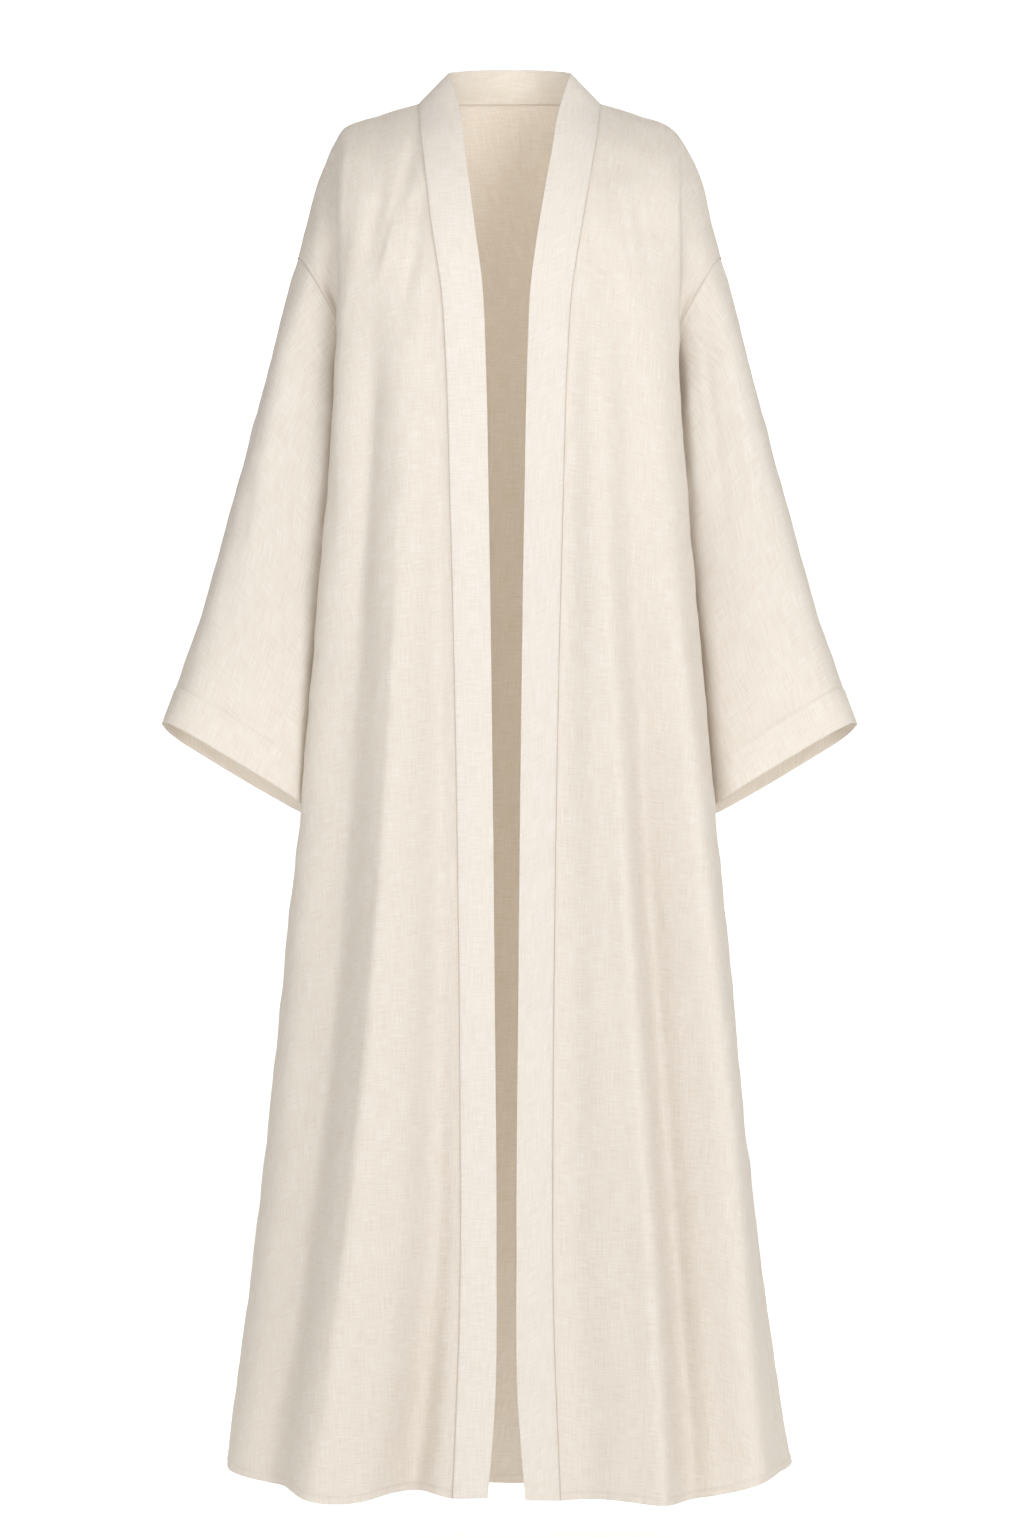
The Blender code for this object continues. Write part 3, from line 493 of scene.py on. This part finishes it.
def ring(turn, depth, side, face):
    """Places on the smooth body, before its folds, with x as it is on that side. Above the underarm the
    front and the back are parted by the armhole, and face says which of them is read."""
    upper = depth < UNDERARM
    in_front = np.where(upper, face < 0, turn <= 1.0)
    yoke = upper & ~in_front & (turn < BACK_TURNS["hps"])
    place = np.empty((len(turn), 3))
    for net_face, net_upper, net_yoke in NET_KINDS:
        chosen = (in_front == (net_face < 0)) & (upper == net_upper) & (yoke == net_yoke)
        depths, turns, net = NETS[side, net_face, net_upper, net_yoke]
        down = weights(depths, depth[chosen])
        across = weights(turns, turn[chosen])
        place[chosen] = np.einsum("nd,nt,dtc->nc", down, across, net)
    return place * np.array((side, 1.0, 1.0))


def fold_height(turn, place, side):
    """How far the folds stand out from the smooth body."""
    face = np.where(turn > 1.0, "back", "front_left" if side < 0 else "front_right")
    depth = -place[:, 2]
    first = FOLD_DEPTHS[0]
    last = FOLD_DEPTHS[-1]
    drop = (np.clip(depth, first, last) - first) / (last - first)
    height = np.zeros(len(turn))
    for fold_face, xs, heights, inner, outer in FOLDS:
        x = curve(FOLD_DEPTHS, xs, depth)
        away = (place[:, 0] - x) * np.sign(x)
        inner_flank = inner[0] + (inner[1] - inner[0]) * drop
        outer_flank = outer[0] + (outer[1] - outer[0]) * drop
        flank = np.where(away < 0, inner_flank, outer_flank)
        top = curve(FOLD_DEPTHS, heights, depth)
        height += np.where(face == fold_face, top * ease(1.0 - np.abs(away) / flank), 0.0)
    starts = ease((depth - FOLD_TOP) / FOLD_TOP_FADE)
    return height * starts * ease(turn / FOLD_SEAM_FADE) * ease(np.abs(turn - 1.0) / FOLD_SIDE_FADE)


def hem_depth(turn, side):
    """The hem's depth at each turn."""
    x = np.abs(ring(turn, np.full(len(turn), HEM_LEVEL), side, 1)[:, 0])
    front = read(HEM, HEM_COLUMNS, "front_left" if side < 0 else "front_right", x)
    return np.where(turn > 1.0, read(HEM, HEM_COLUMNS, "back", x), front)


def seam_turn(depth, side):
    """The turn of the side seam at a depth."""
    return 1.0 - read(SEAM_SWING, SWING_COLUMNS, "left" if side < 0 else "right", depth)[0]


def front_free_edge(seam_place, side):
    """The band's free edge beside a place on the front's band seam."""
    depth = -seam_place[2]
    half = read(OPENING, OPENING_COLUMNS, "free", depth)[0]
    lift = read(OPENING, OPENING_COLUMNS, "lift", depth)[0]
    roll = BAND_ROLL * float(ease(depth / UNDERARM))
    return np.array((opening_middle(depth) + side * half, seam_place[1] + roll, seam_place[2] + lift))


def outward(rings):
    """The outward direction at each place of a tube's rings."""
    around = np.roll(rings, -1, axis=1) - np.roll(rings, 1, axis=1)
    down = np.gradient(rings, axis=0)
    normal = np.cross(down, around)
    return normal / np.linalg.norm(normal, axis=2, keepdims=True)


def sleeve_fold_height(angle, along):
    """How far the sleeve's folds stand out, a row for each ring."""
    quarter = angle / (math.pi / 2)
    height = np.zeros((len(along), len(quarter)))
    for turn, half_turn, start, end, top in SLEEVE_FOLDS:
        round_it = ease(1.0 - np.abs((quarter - turn + 2.0) % 4.0 - 2.0) / half_turn)
        middle = (start + end) / 2
        down_it = ease(SLEEVE_FOLD_HOLD * (1.0 - np.abs(along - middle) / (end - middle)))
        height += top * np.outer(down_it, round_it)
    return height


def crease_height(face, x, depth):
    """How far the soft creases of one face stand out."""
    height = np.zeros(len(x))
    for crease_face, x0, depth0, x1, depth1, bow, left, right, top in CREASES:
        if crease_face != face:
            continue
        length = math.hypot(x1 - x0, depth1 - depth0)
        way = ((x1 - x0) / length, (depth1 - depth0) / length)
        along = ((x - x0) * way[0] + (depth - depth0) * way[1]) / length
        off = (x - x0) * way[1] - (depth - depth0) * way[0] - bow * 4.0 * along * (1.0 - along)
        width = np.where(off < 0, left, right)
        ends = ease(along / CREASE_END) * ease((1.0 - along) / CREASE_END)
        height += top * ends * ease(1.0 - np.abs(off) / width)
    return height


def crumple(across, down, waves):
    """The unevenness of worn linen, as a few long low waves."""
    height = np.zeros(np.broadcast(across, down).shape)
    for angle, length, top, phase in waves:
        along = across * math.cos(angle) + down * math.sin(angle)
        height += top * np.sin(2 * math.pi * along / length + phase)
    return height


def body_cloth(turn, depth, side, face):
    """Places on the body with its folds and creases."""
    turn, depth = np.broadcast_arrays(np.asarray(turn, float), np.asarray(depth, float))
    place = ring(turn, depth, side, face)
    across = ring(turn + SLOPE_STEP, depth, side, face) - ring(turn - SLOPE_STEP, depth, side, face)
    down = ring(turn, depth + SLOPE_STEP, side, face) - ring(turn, depth - SLOPE_STEP, side, face)
    normal = np.cross(across, down) * side
    normal /= np.linalg.norm(normal, axis=1, keepdims=True)
    in_front = np.where(depth < UNDERARM, face < 0, turn <= 1.0)
    height = fold_height(turn, place, side)
    x = place[:, 0]
    below = -place[:, 2]
    front = "front_left" if side < 0 else "front_right"
    creases = np.where(in_front, crease_height(front, x, below), crease_height("back", x, below))
    creases += crumple(x, below, WAVES)
    fade = ease(turn / CREASE_SEAM_FADE) * ease(np.abs(turn - 1.0) / CREASE_SIDE_FADE)
    height += creases * ease(below / CREASE_TOP_FADE) * fade
    return place - normal * height[:, None]


def armhole_depths():
    """The rows of the body above the underarm: some close to the shoulder seam, then one for each step
    round half the armhole."""
    steps = UNDERARM * (np.arange(1, ARMHOLE_STEPS + 1) / ARMHOLE_STEPS) ** (1.0 / ARMHOLE_PACE)
    return np.array([0.0, *SHOULDER_STEPS, *steps])


def lower_depths():
    """The rows of the body from the underarm to the hem."""
    steps = [HEM_LEVEL - step for step in HEM_STEPS]
    return np.array([*np.linspace(UNDERARM, steps[0], LOWER_ROWS)[1:-1], *steps, HEM_LEVEL])


def body_sheet(turns_at, side, face):
    """A sheet of the body, one row for each depth, where turns_at gives a row's turns from its depth."""
    rows = []
    for depth in (*armhole_depths(), *lower_depths()):
        turn = turns_at(depth)
        stretch = (hem_depth(turn, side) - UNDERARM) / (HEM_LEVEL - UNDERARM)
        below = max(depth - UNDERARM, 0.0)
        rows.append(body_cloth(turn, min(depth, UNDERARM) + below * stretch, side, face))
    return np.array(rows)


def shares_between(cells):
    """Shares of the way from one seam to another, close together beside both."""
    middle = np.linspace(SEAM_STEPS[-1], 1.0 - SEAM_STEPS[-1], cells)[1:-1]
    return np.array([*SEAM_STEPS, *middle, *(1.0 - step for step in SEAM_STEPS[::-1])])


def front_sheet(side):
    """One front, a row for each depth, from the band seam to the side seam."""
    shares = shares_between(FRONT_CELLS)
    return body_sheet(lambda depth: shares * seam_turn(depth, side), side, -1)


def back_half(side):
    """Half the back, from the side seam through the high shoulder point to the spine."""
    def turns_at(depth):
        seam = seam_turn(depth, side)
        shoulder = BACK_TURNS["hps"]
        yoke = [seam + step for step in SEAM_STEPS]
        yoke += list(np.linspace(yoke[-1], shoulder, BACK_CELLS)[1:-1])
        return np.array([*yoke, *np.linspace(shoulder, 2.0, NAPE_CELLS + 1)])

    return body_sheet(turns_at, side, 1)


def back_sheet():
    """The whole back, from the left side seam to the right one."""
    left = back_half(-1)
    right = back_half(1)
    return np.concatenate([left, right[:, -2::-1]], axis=1)


def band_sheet(left, back, right):
    """The band, from the left hem round the neck to the right hem, a row for each place along its seam."""
    seam = [*left[::-1, 0]]
    free = [front_free_edge(place, -1) for place in seam]
    neck = back[0, NECK_FIRST + 1: -NECK_FIRST - 1]
    turns = np.linspace(BACK_TURNS["hps"], 2.0, NAPE_CELLS + 1)[1:]
    knots = [BACK_TURNS[name] for name in ("hps", "mid", "spine")]
    angles = list(curve(knots, (0.0, NECK_ANGLES["mid"], NECK_ANGLES["spine"]), turns))
    round_neck = [math.pi - angle for angle in angles] + angles[-2::-1]
    seam += [*neck, *right[:, 0]]
    free += [collar_edge(angle) for angle in round_neck]
    free += [front_free_edge(place, 1) for place in right[:, 0]]
    seam = np.array(seam)
    free = np.array(free)
    return seam[:, None] + (free - seam)[:, None] * np.array(BAND_SHARES)[None, :, None]


def plain_ring(along, angle):
    """A ring of the right sleeve between its upper and lower lines, before any folds."""
    size = {name: read(SLEEVE, SLEEVE_COLUMNS, name, along)[0] for name in SLEEVE_COLUMNS[1:]}
    over = np.array((size["over_x"], size["middle_y"], size["over_z"]))
    under = np.array((size["under_x"], size["middle_y"], size["under_z"]))
    across = np.array((0.0, -size["half"], size["half"] * size["tilt"]))
    upright = np.outer(np.cos(angle), (over - under) / 2)
    flattened = np.tanh(SLEEVE_FLATNESS * np.sin(angle)) / math.tanh(SLEEVE_FLATNESS)
    return (over + under) / 2 + upright + np.outer(flattened, across)


def underarm_tuck(angle, alongs):
    """How far the sleeve's start is moved off the body at the underarm, so that the two walls stay apart."""
    slant = np.array(ARMHOLE_TOP) - np.array(ARMHOLE_FOOT)
    off_body = np.array((slant[2], 0.0, -slant[0])) / np.linalg.norm(slant)
    low = ease((TUCK_TOP - np.cos(angle)) / TUCK_SPAN)
    tuck = UNDERARM_TUCK * ease(alongs / TUCK_START) * ease(1.0 - alongs / ARMHOLE_FADE)
    return off_body * (low * tuck[:, None])[:, :, None]


def sleeve_sheet(side, front, back):
    """One sleeve, a row for each ring, from the armhole that the front and back leave open."""
    first = len(SHOULDER_STEPS) + 1
    kept = [0, *range(first, first + ARMHOLE_STEPS)]
    behind = kept[-2:0:-1]
    loop = np.concatenate([front[kept], back[behind]])
    mirror = np.array((side, 1.0, 1.0))
    depths = armhole_depths()
    half_round = [armhole_angle(depths[row]) for row in kept]
    angle = np.array(half_round + [2 * math.pi - value for value in half_round[-2:0:-1]])
    begun = [step / SLEEVE_LENGTH for step in ARMHOLE_RINGS]
    turned = [1.0 - step / SLEEVE_LENGTH for step in CUFF_STEPS]
    alongs = np.array([*begun, *np.linspace(begun[-1], turned[0], SLEEVE_CELLS)[1:-1], *turned, 1.0])
    rings = np.array([plain_ring(along, angle) for along in alongs])
    fade = ease(1.0 - alongs / ARMHOLE_FADE)
    rings += (loop * mirror - rings[0])[None] * fade[:, None, None]
    creases = sleeve_crease_height(angle, alongs, side) * ease(alongs / SLEEVE_CREASE_FADE)[:, None]
    rings += outward(rings) * (sleeve_fold_height(angle, alongs) + creases)[:, :, None]
    return (rings + underarm_tuck(angle, alongs)) * mirror


def sleeve_crease_height(angle, alongs, side):
    """Soft creases of a sleeve, a row for each ring, with slants from start to end."""
    quarter = angle / (math.pi / 2)
    height = np.zeros((len(alongs), len(quarter)))
    for which, turn0, turn1, start, end, half, top in SLEEVE_CREASES:
        if which not in (side, 0):
            continue
        share = (alongs - start) / (end - start)
        turn = (turn0 + (turn1 - turn0) * share)[:, None]
        off = (quarter[None] - turn + 2.0) % 4.0 - 2.0
        ends = ease(share / CREASE_END) * ease((1.0 - share) / CREASE_END)
        height += top * ends[:, None] * ease(1.0 - np.abs(off) / half)
    return height + crumple(quarter[None] * SLEEVE_QUARTER, alongs[:, None] * SLEEVE_LENGTH, WAVES)


def sheet_normals(sheet, tube):
    """The direction out of the cloth at each place of a sheet."""
    if tube:
        across = np.roll(sheet, -1, axis=1) - np.roll(sheet, 1, axis=1)
    else:
        across = np.gradient(sheet, axis=1)
    normal = np.cross(across, np.gradient(sheet, axis=0))
    return normal / np.linalg.norm(normal, axis=2, keepdims=True)


def run_length(sheet, axis):
    """How far each place is along its row or column from the first one."""
    step = np.linalg.norm(np.diff(sheet, axis=axis), axis=2)
    first = np.zeros_like(np.take(step, [0], axis=axis))
    return np.concatenate([first, np.cumsum(step, axis=axis)], axis=axis)


def roll_in(far):
    """How far in a panel's edge turns at a seam, from the distance to the seam."""
    return SEAM_ROLL * (1.0 - ease(far / SEAM_ROLL_WIDTH))


def turned_up(far, turn):
    """How the cloth stands out above a turned edge, with its line of stitching sunk in."""
    swell = TURN_SWELL * (1.0 - ease((far - turn + SWELL_SHORT) / SWELL_FADE))
    return swell - STITCH_SINK * np.exp(-((far - turn) / STITCH_WIDTH) ** 2)


def seam_distance(sheet, seams):
    """How far each place is from the nearest edge that is sewn: first, last or top."""
    across = run_length(sheet, 1)
    down = run_length(sheet, 0)
    ways = {"first": across, "last": across[:, -1:] - across, "top": down}
    return np.min([ways[name] for name in seams], axis=0)


def finished(sheet, out, seams, turn, tube=False):
    """A sheet with its seams turned in and its lower edge turned up. Out is 1 or -1, whichever makes the
    sheet's own direction point outward."""
    down = run_length(sheet, 0)
    height = turned_up(down[-1:] - down, turn) - roll_in(seam_distance(sheet, seams))
    return sheet + sheet_normals(sheet, tube) * out * height[:, :, None]


def band_finish(band):
    """The band, standing a little over the panels at its seam."""
    stand = BAND_STAND - BAND_SEAM_SHARE * roll_in(run_length(band, 1))
    return band + sheet_normals(band, False) * stand[:, :, None]


def as_linear(hex_colour):
    """A colour given as sRGB hex, as linear red, green and blue."""
    parts = [int(hex_colour[place: place + 2], 16) / 255.0 for place in (0, 2, 4)]
    return tuple(part / 12.92 if part <= 0.04045 else ((part + 0.055) / 1.055) ** 2.4 for part in parts)


def node(tree, kind, links=(), **settings):
    """Adds a node. Settings whose names start with in_ are its sockets' values, the others its own, and each
    link is the name or number of the socket that it goes in by and the socket that it comes from."""
    made = tree.nodes.new(kind)
    for name, value in settings.items():
        if name.startswith("in_"):
            made.inputs[name[3:].replace("_", " ")].default_value = value
        else:
            setattr(made, name, value)
    for socket, source in links:
        tree.links.new(source, made.inputs[socket])
    return made


def linen(name, colour, dark, through_share):
    """Plain-weave linen: matt, with slubs both ways, painted shade at its seams, and light that comes
    through it.
    """
    material = bpy.data.materials.new(name)
    material.use_nodes = True
    tree = material.node_tree
    shader = tree.nodes["Principled BSDF"]
    for socket, value in FLAX_FINISH.items():
        shader.inputs[socket].default_value = value
    place = node(tree, "ShaderNodeUVMap", uv_map="cloth").outputs["UV"]
    streaks = []
    for way, across, down in SLUBS:
        scale = (1 / across, 1 / down, 1.0)
        lie = node(tree, "ShaderNodeMapping", [("Vector", place)], in_Scale=scale, label=way)
        made = node(tree, "ShaderNodeTexNoise", [("Vector", lie.outputs["Vector"])],
                    noise_dimensions="2D", in_Scale=1.0, in_Detail=SLUB_DETAIL, in_Roughness=SLUB_ROUGHNESS)
        streaks.append(made.outputs["Fac"])
    both = node(tree, "ShaderNodeMath", enumerate(streaks), operation="ADD", label="slubs")
    thick = node(tree, "ShaderNodeMapRange", [("Value", both.outputs["Value"])],
                 in_From_Min=SLUB_THIN, in_From_Max=SLUB_THICK, in_To_Min=0.0, in_To_Max=1.0)
    weave = node(tree, "ShaderNodeBump", [("Height", thick.outputs["Result"])],
                 in_Strength=WEAVE_STRENGTH, in_Distance=WEAVE_RELIEF)
    # Share of painted seam shade, which darkens the cloth beside its seams and along its stitching
    seam = node(tree, "ShaderNodeAttribute", attribute_name="seam").outputs["Fac"]
    yarn = node(tree, "ShaderNodeMix", [("Factor", thick.outputs["Result"])], data_type="RGBA")
    # Mixes the painted seam shade into the cloth's colour
    sewn = node(tree, "ShaderNodeMix", [("Factor", seam)], data_type="RGBA")
    dark_in, light_in = (socket for socket in yarn.inputs if socket.type == "RGBA")
    dark_in.default_value = (*as_linear(dark), 1.0)
    light_in.default_value = (*as_linear(colour), 1.0)
    cloth_in, seam_shade_in = (socket for socket in sewn.inputs if socket.type == "RGBA")
    seam_shade_in.default_value = (*as_linear(SEAM_SHADE_HEX), 1.0)
    yarn_out, seam_shaded_out = (
        [socket for socket in made.outputs if socket.type == "RGBA"][0] for made in (yarn, sewn)
    )
    tree.links.new(yarn_out, cloth_in)
    tree.links.new(seam_shaded_out, shader.inputs["Base Color"])
    tree.links.new(weave.outputs["Normal"], shader.inputs["Normal"])
    warmed = node(tree, "ShaderNodeVectorMath", [("Vector", seam_shaded_out)], operation="MULTIPLY")
    warmed.inputs[1].default_value = WARMED
    through = node(tree, "ShaderNodeBsdfTranslucent", [("Color", warmed.outputs["Vector"])])
    faces = [(1, shader.outputs["BSDF"]), (2, through.outputs["BSDF"])]
    light = node(tree, "ShaderNodeMixShader", faces, in_Fac=through_share)
    tree.links.new(light.outputs["Shader"], tree.nodes["Material Output"].inputs["Surface"])
    return material


def make_piece(name, sheet, wall, material, seams, turn, tube=False, flip=False):
    """A thin wall of cloth on a sheet of places, with the lengths along it in metres as its own map, and the
    share of painted shade in its seams and lines of stitching at each place. Flip turns its faces over, so
    that their fronts are outside."""
    rows, columns = sheet.shape[:2]
    row = np.arange(rows - 1)[:, None]
    place = np.arange(columns if tube else columns - 1)[None]
    after = (place + 1) % columns
    above = row * columns
    below = above + columns
    corners = np.stack([above + place, above + after, below + after, below + place], axis=-1).reshape(-1, 4)
    if flip:
        corners = corners[:, ::-1]
    mesh = bpy.data.meshes.new(name)
    mesh.from_pydata(sheet.reshape(-1, 3).tolist(), [], corners.tolist())
    mesh.shade_smooth()
    mesh.materials.append(material)
    level = np.concatenate([sheet[:, :, :2], np.zeros((rows, columns, 1))], axis=2)
    down = run_length(sheet, 0)
    lengths = np.stack([MAP_STARTS[name] + run_length(level, 1), -down], axis=-1).reshape(-1, 2)
    layer = mesh.uv_layers.new(name="cloth")
    layer.uv.foreach_set("vector", lengths[corners.reshape(-1)].astype(np.float32).reshape(-1))
    # Painted shade: the colour goes toward the brownish seam shade close to a sewn edge and along the line
    # of stitching
    seam_shaded = ease(1.0 - seam_distance(sheet, seams) / SEAM_SHADE_WIDTH) * SEAM_SHADE_DEPTH
    stitch_shaded = np.exp(-((down[-1:] - down - turn) / STITCH_WIDTH) ** 2) * STITCH_SHADE_DEPTH
    shade = mesh.attributes.new("seam", "FLOAT", "POINT")
    shade.data.foreach_set("value", np.maximum(seam_shaded, stitch_shaded).astype(np.float32).reshape(-1))
    piece = bpy.data.objects.new(name + "_cloth", mesh)
    bpy.context.scene.collection.objects.link(piece)
    solid = piece.modifiers.new("wall", "SOLIDIFY")
    solid.thickness = wall
    solid.offset = 0.0
    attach(piece, "root")
    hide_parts(name)
    return piece


def panel(name, sheet, out, flip=False):
    """A front or the back, sewn at its sides and top and turned up at the hem."""
    sewn = finished(sheet, out, PANEL_SEAMS, HEM_TURN)
    return make_piece(name, sewn, WALL, panel_linen, PANEL_SEAMS, HEM_TURN, flip=flip)


def sleeve(name, sheet, side):
    """A sleeve, sewn at the armhole and turned in at the cuff."""
    sewn = finished(sheet, side, SLEEVE_SEAMS, CUFF_TURN, tube=True)
    flip = side > 0
    return make_piece(name, sewn, WALL, panel_linen, SLEEVE_SEAMS, CUFF_TURN, tube=True, flip=flip)


left = front_sheet(-1)
right = front_sheet(1)
back = back_sheet()
band = band_sheet(left, back, right)

panel_linen = linen("ivory plain-weave linen", PANEL_HEX, PANEL_DARK_HEX, THROUGH)
band_linen = linen("ivory plain-weave linen, double", BAND_HEX, BAND_DARK_HEX, BAND_THROUGH)
cloth_left = panel("front_left", left, -1)
cloth_right = panel("front_right", right, 1, flip=True)
cloth_back = panel("back", back, 1)
sewn_band = band_finish(band)
cloth_band = make_piece("neckband", sewn_band, BAND_WALL, band_linen, BAND_SEAMS, NO_TURN)
sleeves = {
    "sleeve_left": sleeve("sleeve_left", sleeve_sheet(-1, left[:, -1], back[:, 0]), -1),
    "sleeve_right": sleeve("sleeve_right", sleeve_sheet(1, right[:, -1], back[:, -1]), 1),
}

# Plain pale sweep: floor, and a curve up to a far wall before and behind, so that the cloak can be seen
# from all round
FLOOR_Z = -1.480
WALL_Y = 12.0
SWEEP_RADIUS = 3.0
SWEEP_HALF = 13.0
SWEEP_TOP = 8.0
GLOW_NEAR = 0.20            # the sweep's own glow close to the cloak
GLOW_FAR = 0.64             # and far before and behind it, where the lamps hardly reach
GLOW_FROM = 0.6             # distance before or behind the cloak where the glow begins to grow
GLOW_TO = 5.0               # and where it has reached its full strength
SWEEP_STEPS = 24            # flats of each curve, each with its share of a quarter turn
PAPER_HEX = "FAFAFA"
PAPER_ROUGHNESS = 0.95


def white_paper():
    """Smooth matt paper with a glow of its own that grows away from the cloak."""
    material = bpy.data.materials.new("white paper")
    material.use_nodes = True
    tree = material.node_tree
    shader = tree.nodes["Principled BSDF"]
    shader.inputs["Base Color"].default_value = (*as_linear(PAPER_HEX), 1.0)
    shader.inputs["Roughness"].default_value = PAPER_ROUGHNESS
    shader.inputs["Emission Color"].default_value = (1.0, 1.0, 1.0, 1.0)
    place = node(tree, "ShaderNodeNewGeometry").outputs["Position"]
    parts = node(tree, "ShaderNodeSeparateXYZ", [("Vector", place)])
    away = node(tree, "ShaderNodeMath", [(0, parts.outputs["Y"])], operation="ABSOLUTE")
    glow = node(tree, "ShaderNodeMapRange", [("Value", away.outputs["Value"])],
                in_From_Min=GLOW_FROM, in_From_Max=GLOW_TO, in_To_Min=GLOW_NEAR, in_To_Max=GLOW_FAR)
    tree.links.new(glow.outputs["Result"], shader.inputs["Emission Strength"])
    return material


def pale_sweep():
    """One strip of paper, from the top of the near wall over the floor to the top of the far one."""
    start = WALL_Y - SWEEP_RADIUS
    half = [(start, FLOOR_Z)]
    for step in range(1, SWEEP_STEPS + 1):
        angle = step / SWEEP_STEPS * math.pi / 2
        y = start + SWEEP_RADIUS * math.sin(angle)
        half.append((y, FLOOR_Z + SWEEP_RADIUS * (1.0 - math.cos(angle))))
    half.append((WALL_Y, SWEEP_TOP))
    profile = [(-y, z) for y, z in half[::-1]] + half
    places = [(x, y, z) for y, z in profile for x in (-SWEEP_HALF, SWEEP_HALF)]
    faces = [(2 * row, 2 * row + 1, 2 * row + 3, 2 * row + 2) for row in range(len(profile) - 1)]
    mesh = bpy.data.meshes.new("sweep")
    mesh.from_pydata(places, [], faces)
    mesh.shade_smooth()
    mesh.materials.append(white_paper())
    strip = bpy.data.objects.new("sweep", mesh)
    bpy.context.scene.collection.objects.link(strip)
    return strip


sweep = pale_sweep()

# Round soft lamps: name, place, the place that it is aimed at, width and watts
LAMPS = (
    ("key", (2.0, -3.4, 1.1), (0.0, 0.0, -0.7), 2.0, 84.0),
    ("fill", (-3.0, -3.2, 0.3), (0.0, 0.0, -0.7), 2.4, 28.0),
    ("back", (0.0, 2.6, 1.2), (0.0, 0.1, -0.2), 1.6, 72.0),
)
SKY_COLOUR = (1.0, 0.995, 0.985, 1.0)
SKY_STRENGTH = 0.26

for name, place, aim, size, watts in LAMPS:
    disc = bpy.data.lights.new(name, "AREA")
    disc.shape = "DISK"
    disc.size = size
    disc.energy = watts
    lamp = bpy.data.objects.new(name, disc)
    lamp.location = place
    lamp.rotation_mode = "QUATERNION"
    lamp.rotation_quaternion = (Vector(aim) - Vector(place)).to_track_quat("-Z", "Y")
    bpy.context.scene.collection.objects.link(lamp)

world = bpy.data.worlds.new("studio")
world.use_nodes = True
sky = world.node_tree.nodes["Background"]
sky.inputs["Color"].default_value = SKY_COLOUR
sky.inputs["Strength"].default_value = SKY_STRENGTH
bpy.context.scene.world = world
bpy.context.scene.view_settings.view_transform = "Standard"

# The photograph's camera: level, in front, far enough back that the cloak is hardly foreshortened
CAMERA_PLACE = (0.002, -6.0, -0.6757)
PHOTO_LONG_SIDE = 1537
FOCAL_PIXELS = 5894.0
SENSOR = 36.0
lens = bpy.data.cameras.new("camera")
lens.sensor_width = SENSOR
lens.lens = FOCAL_PIXELS / PHOTO_LONG_SIDE * SENSOR
camera = bpy.data.objects.new("camera", lens)
camera.location = CAMERA_PLACE
camera.rotation_euler = (math.pi / 2, 0.0, 0.0)
bpy.context.scene.collection.objects.link(camera)
bpy.context.scene.camera = camera
